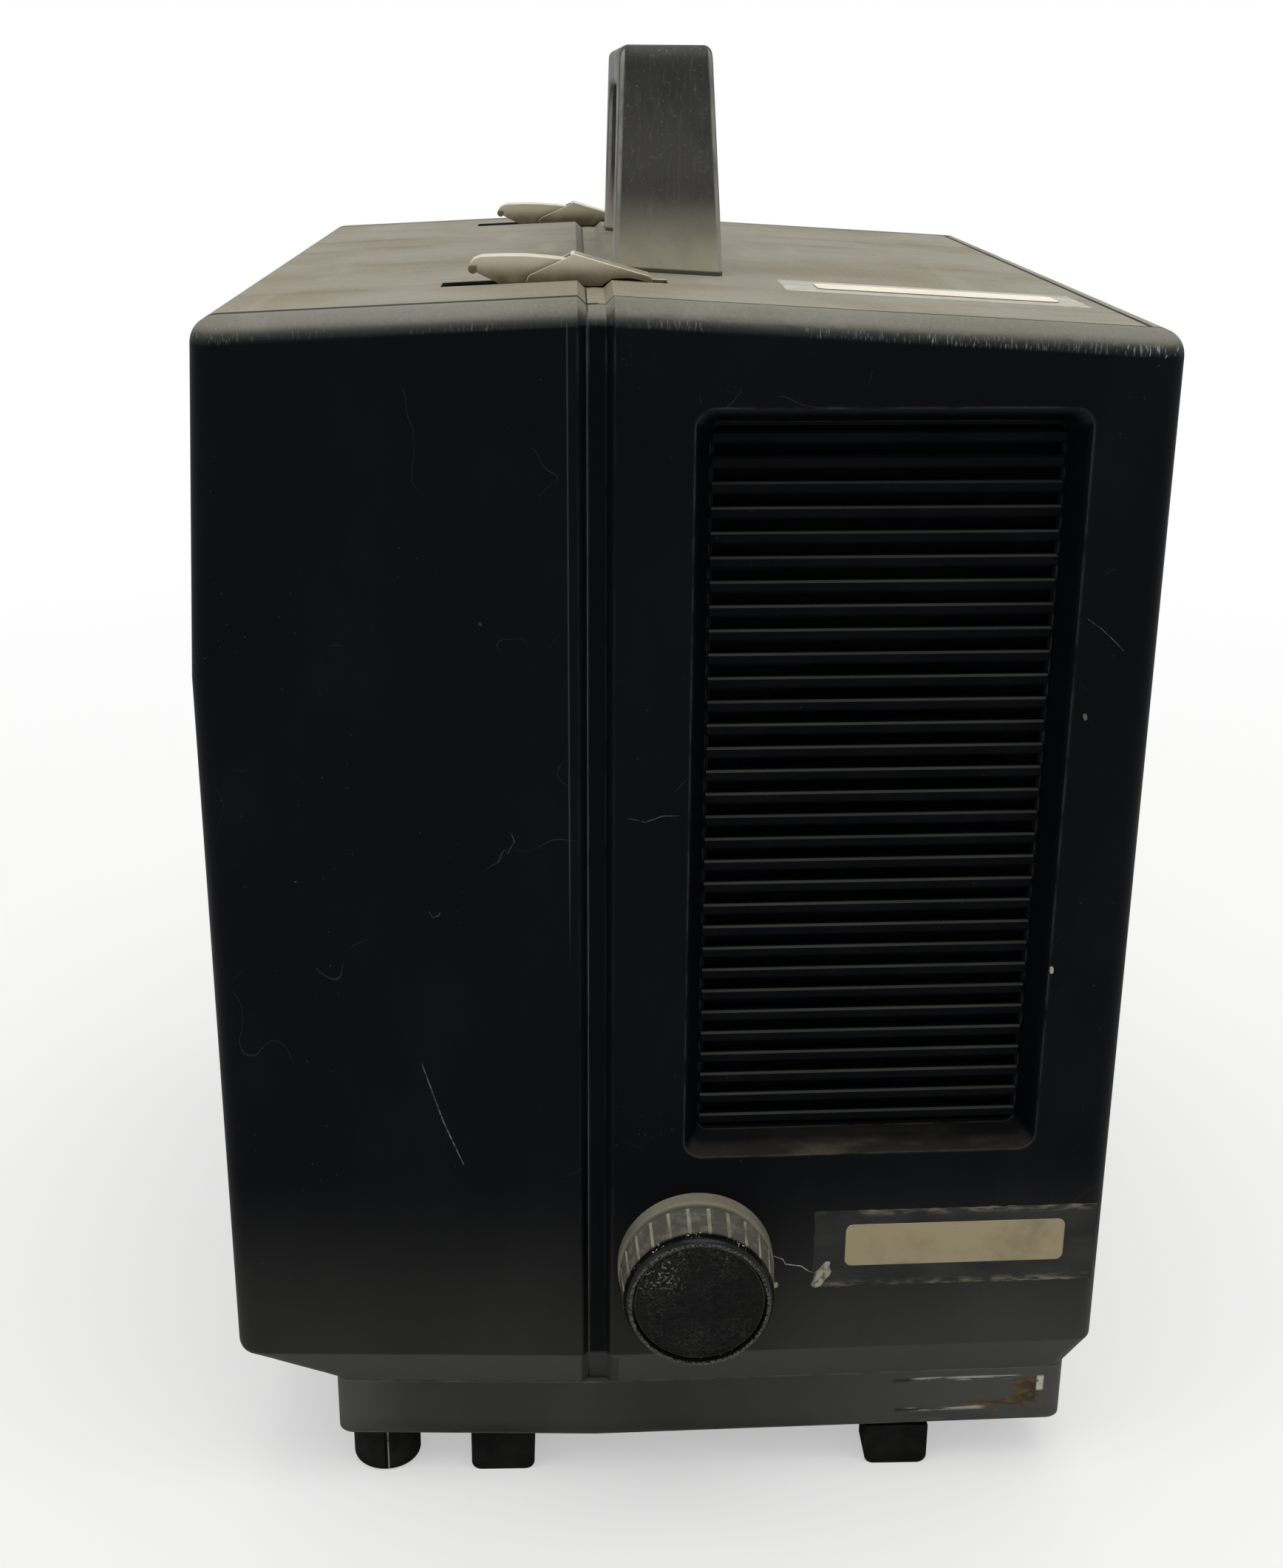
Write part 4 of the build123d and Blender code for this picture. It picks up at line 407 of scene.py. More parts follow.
# Painted highlights on the cap's creases and grain.
CAP_CREASE_HIGHLIGHT = srgb(44, 44, 43)
CAP_GLINT = srgb(54, 54, 52)
CAP_SPECK = srgb(132, 131, 120)
CAP_RIM = srgb(112, 112, 106)
RUBBER = srgb(13, 13, 13), srgb(25, 25, 24)
RUBBER_SLIT = srgb(2, 2, 2)
RUBBER_LIP = srgb(150, 148, 136)
RUBBER_WORN = srgb(48, 47, 43)
CHIP = srgb(150, 147, 132), srgb(92, 84, 64)
LINE = srgb(34, 34, 33), srgb(86, 86, 80)
FLOOR = srgb(236, 236, 234), srgb(240, 240, 239)
GLASS = (0.9, 0.92, 0.93, 1)

# Places on the object, in metres. Two on a line are where a change of look starts and ends.
front_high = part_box("front_housing")[1]
knob_low, knob_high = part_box("tilt_knob")
foot_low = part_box("rubber_feet")[0]
SEAM = -25 * MM
FRONT = -176.31 * MM
PROW = math.tan(math.radians(1.92))
ROOF = math.tan(math.radians(3))
RIDGE = 414 * MM
SKIRT_TOP = 56.3 * MM
GROOVE_MIDDLE = -23.9 * MM
GROOVE_FOOT = (0.0545, 0.0575)
SCRIBE = SEAM - 8.7 * MM
SCRIBE_FOOT = (0.2, 0.24)
PANEL_JOINT = FRONT + 15.3 * MM
SIDE_JOINT = front_high[0] - 9.8 * MM
HAZE = (0.132, 0.045)
LEDGE = (0.131, 0.134)
OPENING_LEFT = (0, 0.003)
BROW = (0.3, 0.37)
CREST = (0.37, 0.39)
PLINTH_LEFT = (-0.085, -0.12)
PLINTH_RIGHT = (0, 0.14)
PLINTH_FOOT = (0.026, 0.018)
HANDLE_GRIP = (0.478, 0.446)
HANDLE_DUSTY = (0.441, 0.413)
GRILLE_BROW_SHADOW = (0.368, 0.352)
FILM_HIGH_EDGE = (0.1085, 0.1112)
FILM_LOW_EDGE = (0.0848, 0.082)
KNOB_X = (knob_low[0] + knob_high[0]) / 2
KNOB_Z = (knob_low[2] + knob_high[2]) / 2
KNOB_FRONT = knob_low[1]
SLIT = foot_low[0] + 12.5 * MM

# Torn paper on the plinth. Each row gives the middle, the half size and the soft edge
# across the front, and then the same in height. The brown backing has no soft edges.
TORN_LINES = (
    ((0.107, 0.016, 0.005), (0.0361, 0.0005, 0.0006)),
    ((0.1, 0.011, 0.005), (0.0235, 0.0004, 0.0006)),
)
TORN_ENDS = (
    ((0.086, 0.004, 0.002), (0.0361, 0.0004, 0.0005)),
    ((0.087, 0.004, 0.002), (0.0235, 0.0004, 0.0005)),
)
TORN_CORNER = ((0.1342, 0.0009, 0.0006), (0.033, 0.0024, 0.0012))
TORN_BACKING = (
    ((0.1295, 0.0048), (0.0302, 0.0056)),
    ((0.1185, 0.0105), (0.0252, 0.0016)),
)


def front_point(x, z, lift):
    """Point in front of the case's front face, lift metres off it."""
    return Vector((x, FRONT + PROW * abs(x - SEAM) - lift, z))


def top_point(x, y, lift):
    """Point above the case's roof, lift metres off it."""
    return Vector((x, y, RIDGE - ROOF * abs(x - SEAM) + lift))


def dusted(look, amount, start=0.45, end=0.9):
    """Lays dust with faint streaks and smudges, and gives the share that faces up."""
    up = look.ramp(look.upward, start, end)
    tone = look.mix(DUST, DUST_WARM, look.ramp(look.noise(0.07, 4), 0.4, 0.7, 0, 0.8))
    layers = (
        (SMUDGE, look.noise(0.009, 4, (9, 1.4, 1), shift=5), 0.52, 0.78, 0.5),
        (DUST_PALE, look.noise(0.02, 4, (1, 6, 1), shift=15), 0.54, 0.75, 0.5),
        (DUST_PALE, look.noise(0.0014, 2, shift=9), 0.52, 0.75, 0.45),
        (SMUDGE, look.noise(0.0011, 2, shift=19), 0.58, 0.75, 0.35),
    )
    for color, cloud, low, high, most in layers:
        tone = look.mix(tone, color, look.ramp(cloud, low, high, 0, most))
    look.lay(tone, up, amount)
    return up


def scratched(look, first, second, amount):
    """Lays two crossing sets of scratches."""
    look.lay(SCUFF, look.any_of(look.scratches(*first), look.scratches(*second)), amount)


def panel_joint(look):
    """Share of the dark joint between sheet and front moulding, which is wider on the cover."""
    half = look.ramp(look.across, SEAM, SEAM + 0.001, 0.0024, 0.0008)
    offset = look.distance(look.depth, PANEL_JOINT)
    return look.ramp(look.math("DIVIDE", offset, half), 1.3, 0.7)


def case_painted_shade_and_light(look, behind):
    """Lays painted shade in the groove beside the cover and in the speaker's recess, and painted light on
    the underside of its brow.
    """
    # Painted shade: darker in the groove between the cover and the case.
    groove = look.all_of(
        look.band(look.across, GROOVE_MIDDLE, 0.0062, 0.0004),
        look.ramp(behind, 0.0004, 0.0012),
        look.ramp(look.upward, 0.3, 0),
        look.ramp(look.height, *GROOVE_FOOT, 0.35, 1),
    )
    look.lay(CASE_PAINTED_SHADE, groove, 0.9)
    # Painted shade: darker on the walls of the speaker's recess.
    recess = look.all_of(
        look.ramp(behind, 0.0006, 0.003),
        look.ramp(look.height, *LEDGE),
        look.ramp(look.across, *OPENING_LEFT),
    )
    look.lay(CASE_PAINTED_SHADE, recess, 0.85)
    # Painted light: a paler bluish tone on the down-facing underside of the brow.
    brow = look.all_of(
        look.ramp(look.upward, -0.15, -0.35),
        look.ramp(behind, 0.006, 0),
        look.ramp(look.height, *BROW),
    )
    look.lay(CASE_BROW_PAINTED_LIGHT, brow, 0.8)


def case_wear(look, film):
    """Lays wear along the edges, fainter beside the groove, and the line scribed on the cover."""
    groove = look.band(look.across, GROOVE_MIDDLE, 0.012, 0.002)
    beside = look.all_of(groove, look.ramp(look.height, 0.4, 0.39))
    worn = look.all_of(look.edge(0.0012), look.ramp(look.noise(0.012, 4), 0.3, 0.6))
    look.lay(SCUFF, worn, look.ramp(beside, 0, 1, 0.6, 0.2))
    scribe = look.all_of(
        look.band(look.across, SCRIBE, 0.00015, 0.00015),
        look.toward(),
        look.ramp(look.height, *SCRIBE_FOOT),
    )
    look.lay(CASE_SCRIBE, scribe, look.ramp(film, 0.3, 0.6, 0.5, 1))


def case_dust(look, behind):
    """Lays dust on top and less on the ledge, thinning towards its back as a painted shadow, lays a painted
    sky reflection on top, and gives the share that faces up.
    """
    settled = look.ramp(look.noise(0.012, 4, (3, 1, 1), shift=21), 0.4, 0.62, 0.3, 1)
    # The dust thins towards the back of the ledge, a painted shadow under the brow.
    on_ledge = look.all_of(look.ramp(behind, 0.0065, 0.0025, 0.03, 0.2), settled)
    up = dusted(look, look.ramp(look.height, 0.2, 0.3, on_ledge, 0.76), 0.16, 0.74)
    # Painted sky reflection: a faint cool tint on the up-facing top.
    look.lay(CASE_SKY_REFLECTION, up, look.ramp(look.height, *CREST), 0.1)
    return up


def case_crest(look):
    """Lays a painted sheen and painted pale glints in fine strokes along the front's rounded top edge."""
    # Painted sheen along the rounded top edge.
    crest = look.all_of(
        look.ramp(look.upward, 0.06, 0.2),
        look.ramp(look.upward, 0.52, 0.36),
        look.ramp(look.height, *CREST),
    )
    look.lay(CASE_CREST_SHEEN, crest, 0.4)
    # Painted glints in fine pale strokes, stronger to the right.
    stroke = look.ramp(look.noise(0.0005, 2, (1, 4, 6), shift=4), 0.54, 0.68)
    patch = look.all_of(
        look.ramp(look.noise(0.022, 3, shift=8), 0.4, 0.65, 0.1, 1),
        look.ramp(look.across, 0.02, 0.12, 0.3, 1),
    )
    look.lay(CASE_PAINTED_GLINT, crest, stroke, patch, 0.7)


def case_plastic():
    """Fine-grained black moulding: hazy low down, scuffed, dusty above, with painted shade in its groove
    and recess, painted light on its skirt and under its brow, a painted sky reflection on top and a painted
    sheen with painted glints along its worn top edge.
    """
    look = Look("case_plastic")
    cloud = look.noise(0.09, 4)
    film = look.noise(0.035, 5, (1, 1, 2), shift=2)
    look.base(*CASE, look.ramp(film, 0.35, 0.75))
    haze = look.mix(*CASE_LOW, look.ramp(look.across, -0.02, 0.12))
    look.lay(haze, look.ramp(look.height, *HAZE), look.ramp(film, 0.2, 0.75, 0.8, 1))
    speck = look.ramp(look.noise(0.0012, 1, shift=6), 0.76, 0.82)
    look.lay(SCUFF, speck, look.ramp(cloud, 0.45, 0.65), 0.35)
    # Painted light: the down-facing skirt is laid pale grey for the light it gets from the floor.
    look.lay(CASE_SKIRT_PAINTED_LIGHT, look.ramp(look.height, SKIRT_TOP + 0.0006, SKIRT_TOP - 0.0004))
    scratched(look, (0.043, 0.00018, 0.5, 0.02), (0.061, 0.00014, -0.9, 0.03, 7), 0.25)
    behind = look.sunk()
    case_painted_shade_and_light(look, behind)
    case_wear(look, film)
    up = case_dust(look, behind)
    case_crest(look)
    look.lay(CASE_JOINT, panel_joint(look), up, 0.9)
    rough = look.math("ADD", look.ramp(cloud, 0.3, 0.7, 0.4, 0.5), look.all_of(up, 0.25))
    normal = look.bump(look.noise(0.0007, 2), 0.00006, 0.8, look.rounded(0.0006))
    return look.shader(rough, normal, specular=0.035)


def sheet_paint():
    """Painted sheet: near black on the sides, under dust on top, with dark joints."""
    look = Look("sheet_paint")
    look.base(*SHEET, look.ramp(look.noise(0.08, 4), 0.35, 0.7))
    scratched(look, (0.05, 0.00022, 0.4, 0.03), (0.07, 0.0002, -1.1, 0.04, 4), 0.5)
    look.lay(SCUFF, look.edge(0.0015), look.ramp(look.noise(0.01, 4), 0.35, 0.6), 0.7)
    up = dusted(look, 0.96, 0.35, 0.85)
    side = look.band(look.across, SIDE_JOINT, 0.0007, 0.0004)
    joint = look.any_of(panel_joint(look), side)
    look.lay(SHEET_JOINT, joint, look.ramp(look.upward, -0.2, 0.4), 0.9)
    rough = look.math("ADD", 0.42, look.all_of(up, 0.3))
    normal = look.bump(look.noise(0.0011, 3), 0.00008, 0.7, look.rounded(0.0004))
    return look.shader(rough, normal, specular=0.12)


def torn_paper(look):
    """Lays torn lines, dark ends, the brown backing and a pale corner, and gives what is raised."""
    toward = look.toward()
    torn = look.noise(0.004, 5, (1.6, 1, 0.8), shift=3)
    fine = look.noise(0.003, 5, (7, 1, 0.4), shift=8)
    lines = look.any_of(*[look.patch(*line) for line in TORN_LINES])
    white = look.all_of(lines, toward, look.ramp(fine, 0.42, 0.5))
    wobble = look.all_of(look.math("SUBTRACT", torn, 0.5), 0.012)
    backing = []
    for (along, half_width), (up, half_height) in TORN_BACKING:
        flat = look.math("SUBTRACT", look.distance(look.across, along), half_width)
        tall = look.math("SUBTRACT", look.distance(look.height, up), half_height)
        outside = look.math("ADD", look.any_of(flat, tall), wobble)
        backing.append(look.ramp(outside, 0.0003, -0.0003))
    brown = look.all_of(look.any_of(*backing), toward)
    look.lay(TORN_DARK, look.any_of(*[look.patch(*end) for end in TORN_ENDS]), toward, 0.7)
    look.lay(look.mix(*TORN_BROWN, look.ramp(torn, 0.4, 0.6)), brown)
    look.lay(TORN_WHITE, white, 0.8)
    look.lay(TORN_PALE, look.patch(*TORN_CORNER), toward, look.ramp(torn, 0.4, 0.5))
    return look.any_of(brown, white)


def plinth_paint():
    """Worn grey paint with rubbed corners, stains near the floor and torn paper on the right."""
    look = Look("plinth_paint")
    cloud = look.noise(0.04, 5)
    look.base(*PLINTH, look.ramp(cloud, 0.4, 0.75))
    left = look.ramp(look.across, *PLINTH_LEFT)
    right = look.ramp(look.across, *PLINTH_RIGHT, 0, 0.8)
    look.lay(PLINTH_ENDS, look.any_of(left, right))
    drawn = look.ramp(look.noise(0.015, 4, (4, 1, 1)), 0.4, 0.7)
    look.lay(PLINTH_STAIN, look.ramp(look.height, *PLINTH_FOOT), drawn, 0.7)
    look.lay(PLINTH_SCRATCH, look.scratches(0.03, 0.0003, 0.2, 0.02), 0.4)
    look.lay(PLINTH_WORN, look.edge(0.0012), look.ramp(look.noise(0.008, 4), 0.35, 0.6), 0.6)
    paper = torn_paper(look)
    dusted(look, 0.5)
    raised = look.math("ADD", look.noise(0.0009, 3), paper)
    normal = look.bump(raised, 0.0001, 0.8, look.rounded(0.0006))
    return look.shader(look.ramp(cloud, 0.3, 0.7, 0.45, 0.6), normal, specular=0.05)


def handle_plastic():
    """Satin grey moulding, rubbed lengthways, lighter low down as painted light, dusty towards its foot,
    with painted highlights along its edges and a painted shadow line at its foot.
    """
    look = Look("handle_plastic")
    cloud = look.noise(0.012, 5)
    rub = look.noise(0.0012, 3, (1, 1, 7), shift=4)
    # Painted light: lighter low down, where the flared foot catches the light from above.
    look.base(*HANDLE, look.ramp(look.height, *HANDLE_GRIP))
    look.lay(HANDLE_DARK, look.ramp(cloud, 0.45, 0.75, 0, 0.6))
    look.lay(HANDLE_RUBBED, look.ramp(rub, 0.5, 0.75, 0, 0.35))
    dusty = look.ramp(look.height, *HANDLE_DUSTY)
    look.lay(HANDLE_FOOT, dusty, look.ramp(cloud, 0.2, 0.75, 0.75, 1))
    look.lay(HANDLE_SCRATCH, look.scratches(0.021, 0.00025, 1.1, 0.015), 0.5)
    look.lay(HANDLE_SPECK, look.ramp(look.noise(0.001, 2, shift=5), 0.62, 0.75, 0, 0.4))
    worn = look.ramp(look.noise(0.01, 4), 0.3, 0.6, 0.4, 1)
    look.lay(HANDLE_WORN, look.edge(0.0018), worn, 0.8)
    # Painted highlights: pale lines along the rounded upright edges.
    aside = look.ramp(look.math("ABSOLUTE", look.sideways), 0.35, 0.6)
    ahead = look.ramp(look.math("ABSOLUTE", look.forward), 0.35, 0.6)
    look.lay(HANDLE_EDGE_HIGHLIGHT, aside, ahead, look.ramp(cloud, 0.3, 0.6, 0.3, 0.8))
    # Painted shadow: a dark line along the foot, just above the roof.
    drop = look.all_of(look.distance(look.across, SEAM), ROOF)
    above = look.math("ADD", look.math("SUBTRACT", look.height, RIDGE), drop)
    look.lay(HANDLE_FOOT_SHADOW, look.ramp(above, 0.0017, 0.0011, 0, 0.85))
    grain = look.math("ADD", look.noise(0.0008, 3), rub)
    normal = look.bump(grain, 0.00007, 0.8, look.rounded(0.001))
    return look.shader(look.ramp(cloud, 0.3, 0.7, 0.36, 0.52), normal, specular=0.12)


def grille_plastic():
    """Matt black slats, with a thin pale line of dust and painted highlight along each upper edge, faded
    out at the top by a painted shadow under the brow.
    """
    look = Look("grille_plastic")
    look.base(*GRILLE, look.ramp(look.noise(0.02, 4), 0.35, 0.7))
    up = look.ramp(look.upward, 0.4, 0.6)
    patchy = look.ramp(look.noise(0.02, 4, (4, 1, 1)), 0.3, 0.7, 0.65, 1)
    # Painted shadow: the brow above shades the upper slats, so their pale line fades out.
    out_of_brow_shadow = look.ramp(look.height, *GRILLE_BROW_SHADOW)
    slat_edge = look.ramp(look.sunk(), 0.0093, 0.009)
    look.lay(GRILLE_DUST_AND_HIGHLIGHT, up, patchy, out_of_brow_shadow, slat_edge)
    look.lay(GRILLE_SPECK, look.ramp(look.noise(0.0012, 2, shift=5), 0.72, 0.78, 0, 0.4))
    normal = look.bump(look.noise(0.0008, 2), 0.00006, 0.8)
    return look.shader(0.5, normal, specular=0.03)


def nickel():
    """Satin nickel plate with painted light and shade: lighter higher up and on top, duller and warmer
    towards the roof, with painted highlights on its edges and painted shade in its hollows.
    """
    look = Look("nickel")
    line = look.noise(0.0005, 3, (10, 1, 1))
    cloud = look.noise(0.006, 4)
    # Painted light and shade: darker and warmer low down, lighter higher up and lighter again where it
    # faces up.
    low = look.mix(*NICKEL_LOW_SHADE, look.ramp(cloud, 0.35, 0.7))
    side = look.mix(low, NICKEL_SIDE, look.ramp(look.height, RIDGE, RIDGE + 0.006))
    top = look.mix(*NICKEL_TOP_LIGHT, look.ramp(cloud, 0.4, 0.75))
    look.base(side, top, look.ramp(look.upward, 0.1, 0.75))
    # Painted highlights along the edges.
    look.lay(NICKEL_EDGE_HIGHLIGHT, look.edge(0.0006, 0.15), 0.75)
    # Painted shade in the hollows.
    look.lay(NICKEL_HOLLOW_SHADE, look.hollow(0.003), 0.55)
    far_end = look.ramp(look.across, SEAM - 0.0368, SEAM - 0.0374)
    near_roof = look.ramp(look.height, RIDGE + 0.0042, RIDGE + 0.0036)
    look.lay(NICKEL_ROLL, far_end, near_roof, 0.8)
    drawn = look.ramp(line, 0.3, 0.7, 0.28, 0.38)
    rough = look.math("ADD", drawn, look.ramp(cloud, 0.4, 0.8, 0, 0.08))
    normal = look.bump(line, 0.000012, 0.5, look.rounded(0.0005))
    return look.shader(rough, normal, metallic=0.75)


def label_paper():
    """Aged cream paper tape under a clear film, smudged, darker on the front and paler where it faces up,
    painted light and shade.
    """
    look = Look("label_paper")
    cloud = look.noise(0.016, 4)
    look.base(*PAPER, look.ramp(cloud, 0.45, 0.78, 0, 0.8))
    # Painted light and shade: the cream is darker on the front and paler where it faces up.
    pale = look.mix(*PAPER_ABOVE_LIT, look.ramp(cloud, 0.4, 0.8))
    look.lay(pale, look.ramp(look.upward, 0.5, 0.8))
    look.lay(PAPER_SPECK, look.ramp(look.noise(0.0018, 2, shift=4), 0.68, 0.76, 0, 0.4))
    look.lay(PAPER_RIM, look.edge(0.0006, 0.2), 0.5)
    normal = look.bump(look.noise(0.004, 3), 0.00012, 0.5)
    return look.shader(0.3, normal, specular=0.4)


def tape_film():
    """Clear sticky film gone dull: grey on the front, pale on top, with dirt along its edges."""
    look = Look("tape_film")
    cloud = look.noise(0.012, 5, (2, 1, 1))
    fine = look.noise(0.0022, 5, (3, 1, 0.7), shift=2)
    look.base(*FILM, look.ramp(cloud, 0.3, 0.7))
    high_edge = look.ramp(look.height, *FILM_HIGH_EDGE)
    rim = look.any_of(high_edge, look.ramp(look.height, *FILM_LOW_EDGE))
    look.lay(FILM_DIRT, rim, look.ramp(fine, 0.42, 0.6), look.ramp(cloud, 0.35, 0.55), 0.7)
    pale = look.mix(*FILM_ABOVE, look.ramp(cloud, 0.4, 0.7))
    look.lay(pale, look.ramp(look.upward, 0.5, 0.8))
    normal = look.bump(fine, 0.0001, 0.7)
    return look.shader(look.ramp(fine, 0.3, 0.7, 0.2, 0.42), normal, specular=0.12)


def knob_plastic():
    """Glossy black moulding with a dusty grey side and pale glints along its worn shoulder."""
    look = Look("knob_plastic")
    cloud = look.noise(0.008, 4)
    fine = look.noise(0.0009, 2, shift=3)
    up = look.ramp(look.upward, -0.5, 0.75)
    flat = look.ramp(look.math("ABSOLUTE", look.forward), 0.5, 0.8)
    behind_rim = look.ramp(look.depth, KNOB_FRONT + 0.0034, KNOB_FRONT + 0.0052)
    side = look.all_of(behind_rim, look.math("SUBTRACT", 1.0, flat))
    look.base(*KNOB, cloud)
    film = look.mix(*KNOB_FILM, look.ramp(look.noise(0.003, 3), 0.45, 0.75))
    look.lay(film, side, look.ramp(up, 0, 1, 0.3, 1), 0.92)
    sparkle = look.all_of(look.ramp(fine, 0.62, 0.68), look.ramp(cloud, 0.45, 0.6))
    shoulder = look.band(look.depth, KNOB_FRONT + 0.0034, 0.0009, 0.0007)
    look.lay(KNOB_GLINT, sparkle, shoulder, look.ramp(up, 0.8, 1))
    lip = look.ramp(look.depth, KNOB_FRONT + 0.0006, KNOB_FRONT + 0.0002)
    look.lay(KNOB_LIP, lip, 0.6, look.ramp(fine, 0.4, 0.6))
    normal = look.bump(look.noise(0.001, 3), 0.00005, 0.6, look.rounded(0.0003))
    return look.shader(look.ramp(side, 0, 1, 0.2, 0.5), normal, specular=0.15)


def flute_dust():
    """Pale dust packed into the knob's flutes, broken up."""
    look = Look("flute_dust")
    cloud = look.noise(0.004, 4, (1, 3, 1))
    up = look.ramp(look.upward, -0.2, 0.7)
    start = look.ramp(look.depth, KNOB_FRONT + 0.004, KNOB_FRONT + 0.0055)
    look.base(*FLUTE, look.all_of(up, start, look.ramp(cloud, 0.3, 0.6, 0.35, 1)))
    normal = look.bump(look.noise(0.0008, 3), 0.0001, 0.8)
    return look.shader(0.6, normal, specular=0.12)


def cap_hide():
    """Black cap with a fine wrinkled grain, painted highlights along its creases and on its grain, pale
    specks and a rubbed rim.
    """
    look = Look("cap_hide")
    fold = look.noise(0.0026, 4, (1.5, 1, 0.8), shift=2)
    patch = look.noise(0.012, 3, shift=12)
    crease = look.ramp(look.distance(fold, 0.5), 0.03, 0)
    glint = look.ramp(look.distance(look.noise(0.0012, 3, shift=17), 0.53), 0.02, 0)
    look.base(*CAP, look.ramp(fold, 0.35, 0.7))
    # Painted highlights: pale lines along the creases and pale glints on the grain.
    look.lay(CAP_CREASE_HIGHLIGHT, crease, look.ramp(patch, 0.3, 0.7, 0.3, 1))
    look.lay(CAP_GLINT, glint, look.ramp(patch, 0.35, 0.65, 0.15, 0.8))
    corner = look.all_of(
        look.ramp(look.across, KNOB_X - 0.002, KNOB_X - 0.014),
        look.ramp(look.height, KNOB_Z + 0.001, KNOB_Z + 0.012),
    )
    dusty = look.any_of(corner, look.ramp(patch, 0.62, 0.75, 0, 0.35))
    look.lay(CAP_SPECK, look.ramp(look.noise(0.0011, 3, shift=7), 0.56, 0.64), dusty)
    look.lay(CAP_RIM, look.edge(0.0007, 0.2), 0.7)
    raised = look.math("SUBTRACT", fold, look.all_of(crease, 0.5))
    normal = look.bump(raised, 0.0003, 0.9)
    return look.shader(look.ramp(fold, 0.3, 0.7, 0.28, 0.45), normal, specular=0.07)


def foot_rubber():
    """Dull black rubber, worn grey on its edges, with a slit in the front foot."""
    look = Look("foot_rubber")
    cloud = look.noise(0.01, 4)
    look.base(*RUBBER, look.ramp(cloud, 0.35, 0.75))
    near = look.ramp(look.depth, foot_low[1] + 0.006, foot_low[1] + 0.002)
    look.lay(RUBBER_SLIT, look.band(look.across, SLIT, 0.00035, 0.00015), near)
    lip = look.band(look.across, SLIT + 0.0009, 0.00018, 0.0002)
    look.lay(RUBBER_LIP, lip, near, look.ramp(cloud, 0.3, 0.6), 0.6)
    look.lay(RUBBER_WORN, look.edge(0.001), look.ramp(look.noise(0.006, 3), 0.4, 0.65))
    normal = look.bump(look.noise(0.001, 3), 0.0001, 0.8, look.rounded(0.0005))
    return look.shader(0.65, normal, specular=0.05)


def raised_mark(name, tones, size, change, depth, strength, specular):
    """Dull raised mark that varies between two tones in spots of a size."""
    look = Look(name)
    cloud = look.noise(size, 4)
    look.base(*tones, look.ramp(cloud, *change))
    return look.shader(0.6, look.bump(cloud, depth, strength), specular=specular)


def bulb_glass():
    """Clear glass with a slight haze."""
    look = Look("bulb_glass")
    look.tone = GLASS
    haze = look.ramp(look.noise(0.008, 3), 0.3, 0.8, 0.03, 0.15)
    return look.shader(haze, clear=1.0)


def plain_worn(name, dark, light, rough, metallic=0.0, specular=0.5, grain=0.0008, depth=0.00005, dust=0.1):
    """Surface with cloudy tone, worn edges, fine grain and a little dust."""
    look = Look(name)
    look.base(dark, light, look.ramp(look.noise(0.02, 4), 0.35, 0.75, 0, 0.6))
    look.lay(light, look.edge(0.0008), look.ramp(look.noise(0.006, 3), 0.4, 0.65))
    if dust:
        dusted(look, dust)
    cloud = look.noise(0.01, 4, shift=3)
    roughness = look.ramp(cloud, 0.3, 0.7, rough - 0.07, rough + 0.1)
    normal = look.bump(look.noise(grain, 2), depth, 0.8, look.rounded(0.0004))
    return look.shader(roughness, normal, metallic, specular)


def steel(name, color, rough):
    """Turned metal with faint rings and dull spots."""
    light = tuple(min(1, share * 1.35) for share in color[:3]) + (1,)
    return plain_worn(name, color, light, rough, metallic=0.95, grain=0.0006, depth=0.00003)


# Plain finishes by slot: the dark and the light colour, the roughness and what isn't as usual
PLAIN = {
    "collar_grey": ((96, 93, 79), (126, 122, 106), 0.6, {"specular": 0.15, "dust": 0.7}),
    "black_steel": ((14, 14, 14), (38, 37, 35), 0.45, {"specular": 0.12, "dust": 0.4}),
    "cast_alloy": ((120, 122, 124), (150, 151, 150), 0.5, {"metallic": 0.5, "dust": 0.2}),
    "lamp_sheet": ((48, 48, 50), (84, 83, 80), 0.5, {"dust": 0.2}),
    "lens_black": ((22, 22, 24), (60, 60, 60), 0.35, {"metallic": 0.3}),
    "fan_plastic": ((36, 36, 38), (64, 63, 60), 0.5, {"dust": 0.3}),
    "belt_rubber": ((28, 28, 28), (48, 47, 44), 0.75, {"specular": 0.3}),
    # Painted shade: speaker_steel and cone_paper are near black, so that the gaps behind the grille look
    # evenly dark.
    "speaker_steel": ((3, 3, 4), (6, 6, 7), 0.7, {"specular": 0.02, "dust": 0}),
    "cone_paper": ((7, 7, 7), (13, 13, 13), 0.85, {"specular": 0.02, "depth": 0.0002, "dust": 0}),
    "board_green": ((48, 92, 52), (84, 112, 78), 0.45, {}),
    "transformer_iron": ((70, 58, 48), (112, 96, 76), 0.5, {"metallic": 0.2}),
    "inlet_black": ((18, 18, 19), (44, 43, 42), 0.45, {}),
}


